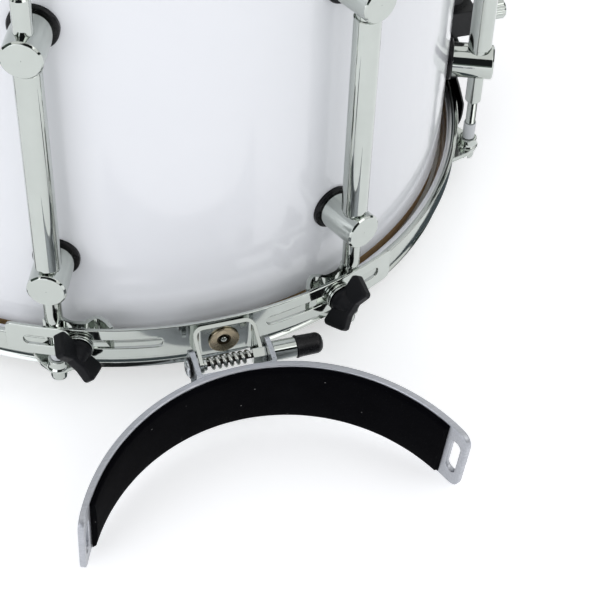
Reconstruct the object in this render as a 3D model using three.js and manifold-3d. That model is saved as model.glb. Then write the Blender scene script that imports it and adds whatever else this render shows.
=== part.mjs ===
// Marching snare drum with a folding leg rest, built from its separate pieces.
// Millimetres, +Z up. The origin is the centre of the outer face of the upper, batter head.
// The front of the drum, where the leg rest sits, looks along -Y. The strainer sits at +X.
// Sizes called heights count up from the outer face of the lower, snare-side head.
import * as THREE from "three";
import { mergeVertices } from "three/addons/utils/BufferGeometryUtils.js";
import Module from "manifold-3d";

const wasm = await Module();
wasm.setup();

// General clearances
const GAP = 0.3; // left between pieces that touch
const OVERRUN = 2; // how far a cut runs past the faces that it goes through
const HOLD = 1; // how deep joined shapes of one piece run into each other

// Counts of flat sides
const RING_STEPS = 48;
const ROUND_STEPS = 12;
const SMALL_STEPS = 8;
const HOLE_STEPS = 6;
const LUG_COUNT = 8;

// Shell
const SHELL_RADIUS = 177.8; // over the white finish: a 14 in drum
const SHELL_DEPTH = 254; // from bearing edge to bearing edge: 10 in
const SHELL_WALL = 6.5;
const FINISH_THICKNESS = 0.8;
const FINISH_INSET = 12; // bare wood left at each edge
const BEARING_ROUND = 1.8; // outer easing of the bearing edge
const VENT_RADIUS = 6.5;
const VENT_BORE = 3.6;
const VENT_WALL = 1;
const VENT_ANGLE = 135;

// Heads and flesh hoops
const FILM = 0.6;
const HEAD_BEND_INSET = 0.9; // from the shell's outer face in to the head's bend
const HEAD_OVERHANG = 3.1; // from the shell's outer face out to the head's edge
const HEAD_RISE = 1.6; // the head's edge turns up into its flesh hoop
const FLESH_WALL = 5.6;
const FLESH_HEIGHT = 11.4;
const FLESH_CLEARANCE = 1.2; // between the shell and the flesh hoop

// Counter hoops
const HOOP_WALL = 2;
const HOOP_TOP = 13.8; // above the bearing edge
const HOOP_LIP = 0.9;
const HOOP_LIP_HEIGHT = 1.6;
const HOOP_RIM = 8.5; // the rim's reach past the bearing edge
const HOOP_RIM_CLEARANCE = 3.4; // from the shell's outer face out to the rim
const HOOP_RIM_WALL = 2.1;
const HOOP_FLARE = 2.1;

// Ears on the hoops, one for each tension rod
const ROD_CLEARANCE = 2.8; // between the hoop's lip and a rod's spacer
const EAR_LOW = 0.5; // above the bearing edge
const EAR_THICKNESS = 2.8;
const EAR_ROOT_HALF = 15;
const EAR_MIDDLE_HALF = 8.9;
const EAR_TIP_HALF = 4;
const EAR_REACH = 6.5; // past the rod circle
const BOSS_RADIUS = 5.2;
const BOSS_HEIGHT = 4.7;

// Tension rods
const ROD_RADIUS = 2.75;
const ROD_BORE = ROD_RADIUS + GAP;
const ROD_HEAD_RADIUS = 4.2;
const ROD_HEAD_HEIGHT = 6;
const ROD_SLOT_WIDTH = 1.8;
const ROD_SLOT_DEPTH = 3.8;
const ROD_LENGTH = 48; // above the underside of the ear
const KEY_SQUARE = 6.2;
const KEY_HEIGHT = 6.4;
const KEY_FLANGE_RADIUS = 4.6;
const KEY_FLANGE_HEIGHT = 2.6;
const SPACER_RADIUS = 3.4;
const SPACER_HEIGHT = 10.2;

// Lugs
const POST_INSET = 60.65; // from the bearing edge to the post's axis
const POST_RADIUS = 9.4;
const POST_PAST_ROD = 8.3; // from the rod's axis out to the post's face
const TUBE_RADIUS = 6.35;
const GASKET_RADIUS = 11.4;
const GASKET_THICKNESS = 2.3;
const SLEEVE_RADIUS = 4.4;
const SLEEVE_SHOWN = 17.3; // length outside the post
const SLEEVE_BORE_DEPTH = 16;
const SCREW_RADIUS = 2.4; // screws that hold lugs and plates on the shell, from inside
const SCREW_HEAD_RADIUS = 6.5;
const SCREW_HEAD_HEIGHT = 3;

// Snare wires and their straps
const WIRE_COUNT = 20;
const WIRE_RADIUS = 1.1;
const WIRE_SPACING = 4.2;
const END_PLATE_LENGTH = 14;
const END_PLATE_THICKNESS = 2.3;
const END_PLATE_TO_RIM = 32.2; // from the end plate out to the bore of the hoop's rim
const STRAP_WIDTH = 92;
const STRAP_THICKNESS = 0.8;
const STRAP_LAP = 11; // how far the strap runs under the end plate
const STRAP_BULGE = 4.9; // how far the strap stands off the hoop's lip
const STRAP_RAMP = 7.5; // length of the strap's slope under the rim
// Of the strap's bulge and of its height.
const STRAP_SIDE_SHARES = [[0.45, 0], [0.9, 0.15], [1, 0.4], [0.82, 0.52], [0.2, 0.81]];

// Strainer and butt plate, in the frame of their place on the shell
const BLOCK_HALF = 27;
const BLOCK_DEPTH = 14.2; // from the shell's outer face
const BLOCK_LOW = 64;
const BLOCK_HEIGHT = 70;
const BLOCK_BEVEL = 9;
const RAIL_SLOT_HALF = 8;
const RAIL_SLOT_INSET = 6.2; // from the shell's outer face
const RAIL_SLOT_DEPTH = 5.4;
const TONGUE_LENGTH = 34;
const CARRIAGE_HALF = 29;
const CARRIAGE_CLEARANCE = 2.8; // from the shell's outer face
const CARRIAGE_PROUD = 5; // past the block's face
const CARRIAGE_LOW = 43;
const CARRIAGE_HEIGHT = 17;
const LIP_HALF = 46;
const LIP_CLEARANCE = 3.4; // from the shell's outer face
const LIP_THICKNESS = 4.2;
const LIP_LOW = 29;
const CLAMP_THICKNESS = 3;
const CLAMP_HEIGHT = 10;
const CLAMP_SCREW_COUNT = 4;
const CLAMP_SCREW_ANGLE = 7.65; // from one clamp screw to the next
const CLAMP_SCREW_RADIUS = 1.9;
const CLAMP_SCREW_HEAD_RADIUS = 3.4;
const CLAMP_SCREW_HEAD_HEIGHT = 2.2;
const CHEEK_HALF = 19;
const CHEEK_THICKNESS = 4;
const CHEEK_PROUD = 9; // past the block's face
const CHEEK_HEIGHT = 20;
const PIVOT_PROUD = 4.5; // past the block's face
const PIVOT_DROP = 9; // from the block's top
const LEVER_PIN_RADIUS = 2.2;
const LEVER_HUB_RADIUS = 5;
const LEVER_THICKNESS = 3;
const LEVER_HALF = 10;
const LEVER_LENGTH = 46;
const LEVER_KICK = 6; // outward turn of the lever's end
const LEVER_KICK_LENGTH = 10;
const KNOB_RADIUS = 5.6;
const KNOB_LENGTH = 19;
const KNOB_OFFSET = 21;
const KNOB_CHAMFER = 0.9;
const KNOB_SHAFT_RADIUS = 2.2;
const KNOB_SHAFT_LENGTH = 9;
const BLOCK_SCREW_HALF_SPAN = 19;
const BUTT_LOW = 30;
const BUTT_HEIGHT = 36;

// Leg rest: band and its clamps
const BAND_CLEARANCE = 0.5; // between a rod's spacer and the band
const BAND_THICKNESS = 1.8;
const BAND_LOW = 14.7; // above the bearing edge
const BAND_HEIGHT = 18.9;
const BAND_HALF_ANGLE = 29.2;
const BAND_CORNER = 4;
const BAND_STEPS = 12;
const SLOT_NEAR_ANGLE = 7.4;
const SLOT_FAR_ANGLE = 26.7;
const SLOT_HEIGHT = 5.8;
const SLOT_STEPS = 5;
const WING_ANGLE = 18.9;
const WASHER_RADIUS = 7.1;
const WASHER_THICKNESS = 1.2;
const BOLT_RADIUS = 2.5;
const BOLT_BORE = BOLT_RADIUS + GAP;
const BOLT_TAIL = 3; // past the flat of the hook
const WING_THICKNESS = 7;
const WING_HALF_SPAN = 15;
const WING_TILT = 37;
const WING_LENGTH = 13;
const WING_HUB_RADIUS = 6.6;
const HOOK_THICKNESS = 2;
const HOOK_HEIGHT = 13.8;
const HOOK_LOW = 19; // above the bearing edge
const HOOK_SETBACK = 4.3; // from the band's bore in to the flat of the hook

// Leg rest: hinge
const REST_SHIFT = 3.2; // the hinge stands this much to the right of the drum's front line
const HINGE_OFFSET = 15.3; // from the band's face out to the hinge axis
const HINGE_HEIGHT = 21.2; // above the bearing edge
const BRACKET_WALL = 2.4;
const BRACKET_HALF = 15.8;
const BRACKET_LOW = 13.1; // above the bearing edge
const BRACKET_HEIGHT = 19.4;
const BRACKET_EYE_RADIUS = 7;
const RIVET_HEIGHT = 22.4; // above the bearing edge
const RIVET_HEAD_RADIUS = 7.6;
const RIVET_HEAD_HEIGHT = 0.7;
const RIVET_RADIUS = 2.6;
const RIVET_WELL_RADIUS = 1.7;
const AXLE_RADIUS = 1.6;
const HEX_FLATS = 8;
const HEX_LENGTH = 7.4;
const HEX_START = 11.9;
const SPRING_CURLS = 7;
const SPRING_RADIUS = 2.6;
const SPRING_WIRE_RADIUS = 0.7;
const SPRING_CLEARANCE = 0.5;
const SPRING_SEAT_RADIUS = 3; // of the boss inside the bracket that the spring rests on
const SPRING_SEAT_LENGTH = 1.3;
const SLEEVE_GAP = 0.5; // bare axle between the yoke and the release sleeve
const RELEASE_SLEEVE_RADIUS = 5;
const RELEASE_SLEEVE_LENGTH = 14.8;
const CAP_RADIUS = 5.7;
const CAP_TIP_RADIUS = 5.2;
const CAP_LENGTH = 13.6;
const CAP_OVERLAP = 3;
const END_WASHER_RADIUS = 5.2;
const END_WASHER_THICKNESS = 1;
const END_NUT_RADIUS = 4.3;
const END_NUT_LENGTH = 1.4;
const AXLE_OVERHANG = 0.2;

// Leg rest: yoke, plate and pad, in the frame that turns with them
const REST_TILT = 9; // forward tilt of the plate at rest
const YOKE_WALL = 2.4;
const YOKE_CLEARANCE = 1.4; // between the bracket and each ear of the yoke
const YOKE_EYE_RADIUS = 8.5;
const YOKE_UP = 9;
const YOKE_DOWN = 15;
const PLATE_OFFSET = 13.4; // from the hinge axis to the back of the plate
const PLATE_DROP = 7;
const PLATE_SHIFT = 1.6;
const PLATE_RADIUS = 95; // of the hollow face
const PLATE_THICKNESS = 3;
const PLATE_WIDTH = 43;
const PLATE_HALF_ANGLE = 70;
const PLATE_CORNER = 7;
const PLATE_STEPS = 24;
const TAB_SLOT_ANGLE = 66;
const TAB_SLOT_WIDTH = 6;
const TAB_SLOT_LENGTH = 24;
const PAD_THICKNESS = 2.6;
const PAD_EDGE_THICKNESS = 1.5;
const PAD_WIDTH = 40.4;
const PAD_HALF_ANGLE = 62.6;
const PAD_STEPS = 60;

// Levels and distances that follow from the sizes above
const EDGE = FILM + GAP; // height of the lower bearing edge
const MIDDLE = EDGE + SHELL_DEPTH / 2;
const WOOD_RADIUS = SHELL_RADIUS - FINISH_THICKNESS - GAP;
const SHELL_BORE = WOOD_RADIUS - SHELL_WALL;
const FLAT_SHARE = Math.cos(Math.PI / RING_STEPS); // a flat side's distance as a share of the corners'
const OUTER_FLAT = SHELL_RADIUS * FLAT_SHARE;
const INNER_FLAT = SHELL_BORE * FLAT_SHARE;
const HEAD_FLAT_RADIUS = SHELL_RADIUS - HEAD_BEND_INSET;
const HEAD_RADIUS = SHELL_RADIUS + HEAD_OVERHANG;
const FLESH_BORE = SHELL_RADIUS + FLESH_CLEARANCE;
const FLESH_LOW = HEAD_RISE + FILM + GAP;
const HOOP_RIM_BORE = SHELL_RADIUS + HOOP_RIM_CLEARANCE;
const HOOP_BORE = FLESH_BORE + FLESH_WALL + GAP;
const HOOP_RADIUS = HOOP_BORE + HOOP_WALL;
const SEAT_LEVEL = FLESH_LOW - GAP;
const RIM_LOW = EDGE - HOOP_RIM;
const RIM_FLARE_RADIUS = HOOP_RIM_BORE + HOOP_RIM_WALL + HOOP_FLARE;
const ROD_CIRCLE = HOOP_RADIUS + HOOP_LIP + ROD_CLEARANCE + SPACER_RADIUS; // of rods and tubes
const POST_SPACING = SHELL_DEPTH - 2 * POST_INSET;
const LOWER_POST = EDGE + POST_INSET;
const POST_BACK = OUTER_FLAT + GAP + GASKET_THICKNESS;
const POST_FACE = ROD_CIRCLE + POST_PAST_ROD;
const EAR_TOP = EDGE + EAR_LOW + EAR_THICKNESS;
const BOSS_TOP = EAR_TOP + BOSS_HEIGHT;
const SLEEVE_LOW = LOWER_POST - POST_RADIUS - SLEEVE_SHOWN;
const WIRE_LEVEL = -GAP - END_PLATE_THICKNESS / 2;
const WIRE_LENGTH = 2 * (HOOP_RIM_BORE - END_PLATE_TO_RIM - END_PLATE_LENGTH);
const BLOCK_FACE = SHELL_RADIUS + BLOCK_DEPTH;
const BLOCK_HIGH = BLOCK_LOW + BLOCK_HEIGHT;
const BUTT_HIGH = BUTT_LOW + BUTT_HEIGHT;
const RAIL_SLOT_BACK = SHELL_RADIUS + RAIL_SLOT_INSET;
const RAIL_SLOT_FRONT = RAIL_SLOT_BACK + RAIL_SLOT_DEPTH;
const CARRIAGE_BACK = SHELL_RADIUS + CARRIAGE_CLEARANCE;
const CARRIAGE_FACE = BLOCK_FACE + CARRIAGE_PROUD;
const CARRIAGE_HIGH = CARRIAGE_LOW + CARRIAGE_HEIGHT;
const CHEEK_FACE = BLOCK_FACE + CHEEK_PROUD;
const LEVER_PIVOT = BLOCK_FACE + PIVOT_PROUD;
const LEVER_PIVOT_HEIGHT = BLOCK_HIGH - PIVOT_DROP;
const CHEEK_LOW = LEVER_PIVOT_HEIGHT + LEVER_HUB_RADIUS - CHEEK_HEIGHT;
const LIP_BACK = SHELL_RADIUS + LIP_CLEARANCE;
const LIP_FRONT = LIP_BACK + LIP_THICKNESS;
const STRAP_PLANE = LIP_FRONT + GAP + STRAP_THICKNESS / 2;
const CLAMP_BACK = LIP_FRONT + GAP + STRAP_THICKNESS + GAP;
const CLAMP_LEVEL = (LIP_LOW + CARRIAGE_LOW) / 2;
const BAND_BORE = ROD_CIRCLE + SPACER_RADIUS + BAND_CLEARANCE;
const BAND_RADIUS = BAND_BORE + BAND_THICKNESS;
const BAND_MIDDLE = EDGE + BAND_LOW + BAND_HEIGHT / 2;
const HOOK_FLAT = BAND_BORE - HOOK_SETBACK;
const BOLT_BACK = HOOK_FLAT - BOLT_TAIL;
const WING_BACK = BAND_RADIUS + GAP + 2 * (WASHER_THICKNESS + GAP);
const HINGE_DISTANCE = BAND_RADIUS + HINGE_OFFSET;
const HINGE_AXIS_HEIGHT = EDGE + HINGE_HEIGHT;
const BRACKET_HIGH = BRACKET_LOW + BRACKET_HEIGHT;
const RIVET_LEVEL = EDGE + RIVET_HEIGHT;
const YOKE_FACE = BRACKET_HALF + YOKE_CLEARANCE + YOKE_WALL;
const SPRING_SEAT_FACE = -BRACKET_HALF + BRACKET_WALL + SPRING_SEAT_LENGTH;
const HEX_RADIUS = HEX_FLATS / 2 / Math.cos(Math.PI / HOLE_STEPS);

// Materials
function material(color, roughness, metalness) {
  return new THREE.MeshStandardMaterial({ color, roughness, metalness });
}
const chrome = material(0xd9dde0, 0.12, 1);
const steel = material(0xb9bdc0, 0.3, 1);
const aluminium = material(0xc4c7c9, 0.38, 1);
const whiteFinish = material(0xf3f5f8, 0.15, 0);
const wood = material(0xa9825a, 0.6, 0);
const film = material(0xe9e9e4, 0.35, 0);
const blackMetal = material(0x17181a, 0.35, 0.4);
const blackPlastic = material(0x1c1c1e, 0.5, 0);
const rubber = material(0x131314, 0.75, 0);
const felt = material(0x121214, 0.95, 0);
const nylon = material(0xc9cccd, 0.4, 0);

// Solids
const degrees = THREE.MathUtils.degToRad;

function solidOf(geometry) {
  const bare = geometry.index ? geometry.toNonIndexed() : geometry.clone();
  const only = new THREE.BufferGeometry().setAttribute("position", bare.getAttribute("position"));
  const merged = mergeVertices(only, 1e-3);
  const vertProperties = merged.attributes.position.array;
  const triVerts = new Uint32Array(merged.index.array);
  if (signedVolume(vertProperties, triVerts) < 0) {
    for (let i = 0; i < triVerts.length; i += 3) {
      [triVerts[i], triVerts[i + 1]] = [triVerts[i + 1], triVerts[i]];
    }
  }
  return new wasm.Manifold(new wasm.Mesh({ numProp: 3, vertProperties, triVerts }));
}

function signedVolume(points, triangles) {
  const [a, b, c] = [new THREE.Vector3(), new THREE.Vector3(), new THREE.Vector3()];
  let total = 0;
  for (let i = 0; i < triangles.length; i += 3) {
    a.fromArray(points, 3 * triangles[i]);
    b.fromArray(points, 3 * triangles[i + 1]);
    c.fromArray(points, 3 * triangles[i + 2]);
    total += a.dot(b.cross(c));
  }
  return total;
}

function geometryOf(solid) {
  const mesh = solid.getMesh();
  const geometry = new THREE.BufferGeometry();
  geometry.setAttribute("position", new THREE.BufferAttribute(new Float32Array(mesh.vertProperties), 3));
  geometry.setIndex(new THREE.BufferAttribute(new Uint32Array(mesh.triVerts), 1));
  return geometry;
}

const join = (first, ...others) => others.reduce((sum, other) => sum.add(other), first);
const cut = (first, ...others) => others.reduce((rest, other) => rest.subtract(other), first);

// A ring or a cap turned about Z from points [radius, height]. A flat side faces the front.
function turned(points, steps = RING_STEPS) {
  const profile = points.map(([radius, height]) => new THREE.Vector2(radius, height));
  profile.push(profile[0].clone());
  const geometry = new THREE.LatheGeometry(profile, steps, Math.PI / steps);
  return solidOf(geometry.rotateX(Math.PI / 2));
}

// A round bar along Z from one height to another.
function bar(radius, low, high, steps = ROUND_STEPS, topRadius = radius) {
  const geometry = new THREE.CylinderGeometry(topRadius, radius, high - low, steps);
  return geometry.rotateX(Math.PI / 2).translate(0, 0, (low + high) / 2);
}

// A block between two corners.
function block([x0, y0, z0], [x1, y1, z1]) {
  const geometry = new THREE.BoxGeometry(x1 - x0, y1 - y0, z1 - z0);
  return geometry.translate((x0 + x1) / 2, (y0 + y1) / 2, (z0 + z1) / 2);
}

function outline(points, holes = []) {
  const shape = new THREE.Shape(points.map(([x, y]) => new THREE.Vector2(x, y)));
  shape.holes = holes.map((hole) => new THREE.Path(hole.map(([x, y]) => new THREE.Vector2(x, y))));
  return shape;
}

// A flat plate in the XY plane from one height to another.
function plate(points, low, high, holes = []) {
  const geometry = new THREE.ExtrudeGeometry(outline(points, holes), {
    depth: high - low,
    bevelEnabled: false,
  });
  return geometry.translate(0, 0, low);
}

// A plate whose outline [y, z] lies across X, from one x to another.
function sidePlate(points, x0, x1) {
  const geometry = plate(points, 0, x1 - x0);
  return geometry.applyMatrix4(new THREE.Matrix4().makeBasis(Y_AXIS, Z_AXIS, X_AXIS)).translate(x0, 0, 0);
}
const X_AXIS = new THREE.Vector3(1, 0, 0);
const Y_AXIS = new THREE.Vector3(0, 1, 0);
const Z_AXIS = new THREE.Vector3(0, 0, 1);

// The points of a circle, or of a part of it.
function arc(radius, steps, from = 0, to = 2 * Math.PI, center = [0, 0]) {
  const closed = Math.abs(to - from) > 2 * Math.PI - 0.001;
  const count = closed ? steps : steps + 1;
  return Array.from({ length: count }, (_, i) => {
    const angle = from + ((to - from) * i) / steps;
    return [center[0] + radius * Math.cos(angle), center[1] + radius * Math.sin(angle)];
  });
}

// A band bent round the origin, in plan, centred on the front.
function sector(bore, radius, halfAngle, low, high, steps, from = -halfAngle) {
  const start = degrees(from) - Math.PI / 2;
  const end = degrees(halfAngle) - Math.PI / 2;
  const points = [...arc(radius, steps, start, end), ...arc(bore, steps, end, start)];
  return plate(points, low, high);
}

// A bar that runs outward from the drum's axis: its axis is -Y, between two distances.
function outwardBar(radius, near, far, height, steps = ROUND_STEPS, farRadius = radius) {
  return bar(radius, near, far, steps, farRadius).rotateX(Math.PI / 2).translate(0, 0, height);
}

// A bar along X.
function crossBar(radius, x0, x1, steps = ROUND_STEPS, endRadius = radius) {
  return bar(radius, x0, x1, steps, endRadius).rotateY(Math.PI / 2);
}

// Placing
const model = new THREE.Group();
model.name = "marching_snare_drum";

// Holds all pieces, with heights as the sizes above count them.
const drum = new THREE.Group();
drum.position.z = -2 * MIDDLE;
model.add(drum);

const snareSide = new THREE.Group();
drum.add(snareSide);

// The batter side is the snare side turned over about the drum's middle.
const batterSide = new THREE.Group();
batterSide.rotation.x = Math.PI;
batterSide.position.z = 2 * MIDDLE;
drum.add(batterSide);

function stationGroup(angle, parent = drum) {
  const group = new THREE.Group();
  group.rotation.z = degrees(angle);
  parent.add(group);
  return group;
}

function piece(name, finish, shape, parent = drum) {
  const geometry = shape.isBufferGeometry ? shape : geometryOf(shape);
  const mesh = new THREE.Mesh(geometry, finish);
  mesh.name = name;
  parent.add(mesh);
  return mesh;
}

const lugAngles = Array.from({ length: LUG_COUNT }, (_, i) => ((i - 0.5) * 360) / LUG_COUNT);

// Shell with its white finish
function lugHoles() {
  const half = POST_SPACING / 2;
  return lugAngles.flatMap((angle) =>
    [-half, half].map((rise) => {
      const hole = outwardBar(
        SCREW_RADIUS + 2 * GAP, SHELL_BORE - SHELL_WALL, SHELL_RADIUS + OVERRUN, MIDDLE + rise, HOLE_STEPS,
      );
      return solidOf(hole.rotateZ(degrees(angle)));
    }),
  );
}

function blockHoles() {
  const spans = [-BLOCK_SCREW_HALF_SPAN, BLOCK_SCREW_HALF_SPAN];
  return [
    [90, (BLOCK_LOW + BLOCK_HIGH) / 2],
    [-90, (BUTT_LOW + BUTT_HIGH) / 2],
  ].flatMap(([angle, height]) =>
    spans.map((span) => {
      const hole = outwardBar(
        SCREW_RADIUS + 2 * GAP, SHELL_BORE - SHELL_WALL, SHELL_RADIUS + OVERRUN, height, HOLE_STEPS,
      );
      return solidOf(hole.translate(span, 0, 0).rotateZ(degrees(angle)));
    }),
  );
}

function ventHole() {
  const hole = outwardBar(
    VENT_BORE + VENT_WALL + GAP, SHELL_BORE - SHELL_WALL, SHELL_RADIUS + OVERRUN, MIDDLE, SMALL_STEPS,
  );
  return solidOf(hole.rotateZ(degrees(VENT_ANGLE)));
}

function buildShell() {
  const bearing = WOOD_RADIUS - BEARING_ROUND;
  const slope = bearing - SHELL_BORE;
  const top = EDGE + SHELL_DEPTH;
  const holes = [...lugHoles(), ...blockHoles(), ventHole()];
  const ring = turned([
    [WOOD_RADIUS, EDGE + BEARING_ROUND],
    [WOOD_RADIUS, top - BEARING_ROUND],
    [bearing, top],
    [SHELL_BORE, top - slope],
    [SHELL_BORE, EDGE + slope],
    [bearing, EDGE],
  ]);
  piece("shell", wood, cut(ring, ...holes));
  const skinBore = SHELL_RADIUS - FINISH_THICKNESS;
  const skin = turned([
    [SHELL_RADIUS, EDGE + FINISH_INSET],
    [SHELL_RADIUS, top - FINISH_INSET],
    [skinBore, top - FINISH_INSET],
    [skinBore, EDGE + FINISH_INSET],
  ]);
  piece("shell_finish", whiteFinish, cut(skin, ...holes));
}

function buildVent() {
  const flange = outwardBar(VENT_RADIUS, OUTER_FLAT + GAP, OUTER_FLAT + GAP + VENT_WALL, MIDDLE);
  const neck = outwardBar(
    VENT_BORE + VENT_WALL, INNER_FLAT - VENT_WALL, OUTER_FLAT + HOLD, MIDDLE, SMALL_STEPS,
  );
  const bore = outwardBar(
    VENT_BORE, INNER_FLAT - SHELL_WALL, SHELL_RADIUS + OVERRUN + HOLD, MIDDLE, SMALL_STEPS,
  );
  const grommet = cut(join(solidOf(flange), solidOf(neck)), solidOf(bore));
  piece("air_vent", chrome, grommet, stationGroup(VENT_ANGLE));
}

// Heads
function buildHead(side, parent) {
  const skin = turned([
    [0, 0],
    [HEAD_FLAT_RADIUS, 0],
    [HEAD_RADIUS, HEAD_RISE],
    [HEAD_RADIUS, HEAD_RISE + FILM],
    [HEAD_FLAT_RADIUS - GAP, FILM],
    [0, FILM],
  ]);
  piece(`${side}_head`, film, skin, parent);
  const ring = turned([
    [FLESH_BORE, FLESH_LOW],
    [FLESH_BORE + FLESH_WALL, FLESH_LOW],
    [FLESH_BORE + FLESH_WALL, FLESH_LOW + FLESH_HEIGHT],
    [FLESH_BORE, FLESH_LOW + FLESH_HEIGHT],
  ]);
  piece(`${side}_flesh_hoop`, aluminium, ring, parent);
}

// Counter hoops
function ear() {
  const root = HOOP_BORE + HOOP_WALL / 4;
  const half = [
    [EAR_ROOT_HALF, root],
    [EAR_ROOT_HALF, HOOP_RADIUS],
    [EAR_MIDDLE_HALF, ROD_CIRCLE],
    [EAR_TIP_HALF, ROD_CIRCLE + EAR_REACH],
  ];
  const points = [...half.map(([x, n]) => [x, -n]), ...half.reverse().map(([x, n]) => [-x, -n])];
  const sheet = solidOf(plate(points, EDGE + EAR_LOW, EAR_TOP));
  const boss = solidOf(
    bar(BOSS_RADIUS, EAR_TOP - HOLD, BOSS_TOP, SMALL_STEPS).translate(0, -ROD_CIRCLE, 0),
  );
  const bore = bar(ROD_BORE, EDGE + EAR_LOW - OVERRUN, BOSS_TOP + OVERRUN, SMALL_STEPS);
  return geometryOf(cut(join(sheet, boss), solidOf(bore.translate(0, -ROD_CIRCLE, 0))));
}

function buildHoop(side, parent) {
  const top = EDGE + HOOP_TOP;
  const shoulder = EDGE + EAR_LOW - HOLD;
  const ring = turned([
    [HOOP_BORE, top],
    [HOOP_BORE, SEAT_LEVEL],
    [HOOP_RIM_BORE, SEAT_LEVEL],
    [HOOP_RIM_BORE, RIM_LOW],
    [RIM_FLARE_RADIUS, RIM_LOW],
    [HOOP_RIM_BORE + HOOP_RIM_WALL, RIM_LOW + HOOP_FLARE],
    [HOOP_RIM_BORE + HOOP_RIM_WALL, shoulder - HOOP_WALL],
    [HOOP_RADIUS, shoulder],
    [HOOP_RADIUS, top - HOOP_LIP_HEIGHT],
    [HOOP_RADIUS + HOOP_LIP, top],
  ]);
  const ears = lugAngles.map((angle) => solidOf(ear().rotateZ(degrees(angle))));
  piece(`${side}_hoop`, chrome, join(ring, ...ears), parent);
}

// Tension rods, spacers and swivel nut sleeves
function shaft() {
  const low = EDGE + EAR_LOW - GAP;
  return solidOf(bar(ROD_RADIUS, low - HOLD, low + ROD_LENGTH, SMALL_STEPS).translate(0, -ROD_CIRCLE, 0));
}

function slottedRod() {
  const top = EDGE + EAR_LOW - GAP;
  const low = top - ROD_HEAD_HEIGHT;
  const head = bar(ROD_HEAD_RADIUS, low, top, SMALL_STEPS).translate(0, -ROD_CIRCLE, 0);
  const slot = block(
    [-ROD_HEAD_RADIUS - OVERRUN, -ROD_CIRCLE - ROD_SLOT_WIDTH / 2, low - OVERRUN],
    [ROD_HEAD_RADIUS + OVERRUN, -ROD_CIRCLE + ROD_SLOT_WIDTH / 2, low + ROD_SLOT_DEPTH],
  );
  return cut(join(solidOf(head), shaft()), solidOf(slot));
}

function keyRod() {
  const top = EDGE + EAR_LOW - GAP;
  const half = KEY_SQUARE / 2;
  const flange = bar(KEY_FLANGE_RADIUS, top - KEY_FLANGE_HEIGHT, top, SMALL_STEPS)
    .translate(0, -ROD_CIRCLE, 0);
  const square = block(
    [-half, -ROD_CIRCLE - half, top - KEY_FLANGE_HEIGHT - KEY_HEIGHT],
    [half, -ROD_CIRCLE + half, top - HOLD],
  );
  return join(solidOf(flange), solidOf(square), shaft());
}

// The plastic spacer on the rod, between the ear's boss and the swivel nut
function spacer() {
  const low = BOSS_TOP + GAP;
  return solidOf(bar(SPACER_RADIUS, low, low + SPACER_HEIGHT, SMALL_STEPS).translate(0, -ROD_CIRCLE, 0));
}

// On the batter side, which is turned over, an angle from the front counts from the back.
function buildRods() {
  lugAngles.forEach((angle, i) => {
    piece(`snare_rod_${i + 1}`, chrome, join(slottedRod(), spacer()), stationGroup(angle, snareSide));
    piece(`batter_rod_${i + 1}`, chrome, join(keyRod(), spacer()), stationGroup(180 - angle, batterSide));
  });
}

// Lugs: two posts on gaskets, a tube, two swivel nuts and two screws from inside the shell
function post(height) {
  const gasket = outwardBar(GASKET_RADIUS, OUTER_FLAT + GAP, POST_BACK, height, SMALL_STEPS);
  const body = outwardBar(POST_RADIUS, POST_BACK - HOLD, POST_FACE, height);
  const seat = INNER_FLAT - GAP;
  const stem = outwardBar(SCREW_RADIUS, seat - HOLD, POST_BACK, height, HOLE_STEPS);
  const head = outwardBar(SCREW_HEAD_RADIUS, seat - SCREW_HEAD_HEIGHT, seat, height, HOLE_STEPS);
  return join(...[gasket, body, stem, head].map(solidOf));
}

// A swivel nut sleeve that stands out of a post, with the bore for the tension rod
function swivelNut() {
  const outer = bar(SLEEVE_RADIUS, SLEEVE_LOW, SLEEVE_LOW + SLEEVE_SHOWN + HOLD + HOLD, SMALL_STEPS);
  return solidOf(outer.translate(0, -ROD_CIRCLE, 0));
}

function nutBore() {
  const bore = bar(ROD_BORE, SLEEVE_LOW - OVERRUN, SLEEVE_LOW + SLEEVE_BORE_DEPTH, SMALL_STEPS);
  return solidOf(bore.translate(0, -ROD_CIRCLE, 0));
}

function turnedOver(solid) {
  return solid.rotate([180, 0, 0]).rotate([0, 0, 180]).translate([0, 0, 2 * MIDDLE]);
}

function lug() {
  const low = LOWER_POST;
  const high = LOWER_POST + POST_SPACING;
  const sunk = POST_RADIUS - HOLD - HOLD;
  const tube = solidOf(bar(TUBE_RADIUS, low + sunk, high - sunk, SMALL_STEPS).translate(0, -ROD_CIRCLE, 0));
  const whole = join(post(low), post(high), tube, swivelNut(), turnedOver(swivelNut()));
  return cut(whole, nutBore(), turnedOver(nutBore()));
}

function buildLugs() {
  lugAngles.forEach((angle, i) => piece(`lug_${i + 1}`, chrome, lug(), stationGroup(angle)));
}

// The outline of a thin strap along a path of [distance, height] points
function ribbon(path, thickness) {
  const sides = [1, -1].map((side) =>
    path.map(([n, z], i) => {
      const [n0, z0] = path[Math.max(i - 1, 0)];
      const [n1, z1] = path[Math.min(i + 1, path.length - 1)];
      const offset = (side * thickness) / 2 / Math.hypot(n1 - n0, z1 - z0);
      return [n + (z1 - z0) * offset, z - (n1 - n0) * offset];
    }),
  );
  return [...sides[0], ...sides[1].reverse()];
}

// The part of a turned ring that faces the front, as wide as twice its half width
function frontOf(ring, halfWidth) {
  const reach = 2 * SHELL_RADIUS;
  const low = -BLOCK_HIGH;
  return ring.intersect(
    solidOf(block([-halfWidth, -reach, low], [halfWidth, -SHELL_RADIUS / 2, BLOCK_HIGH])),
  );
}

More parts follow.
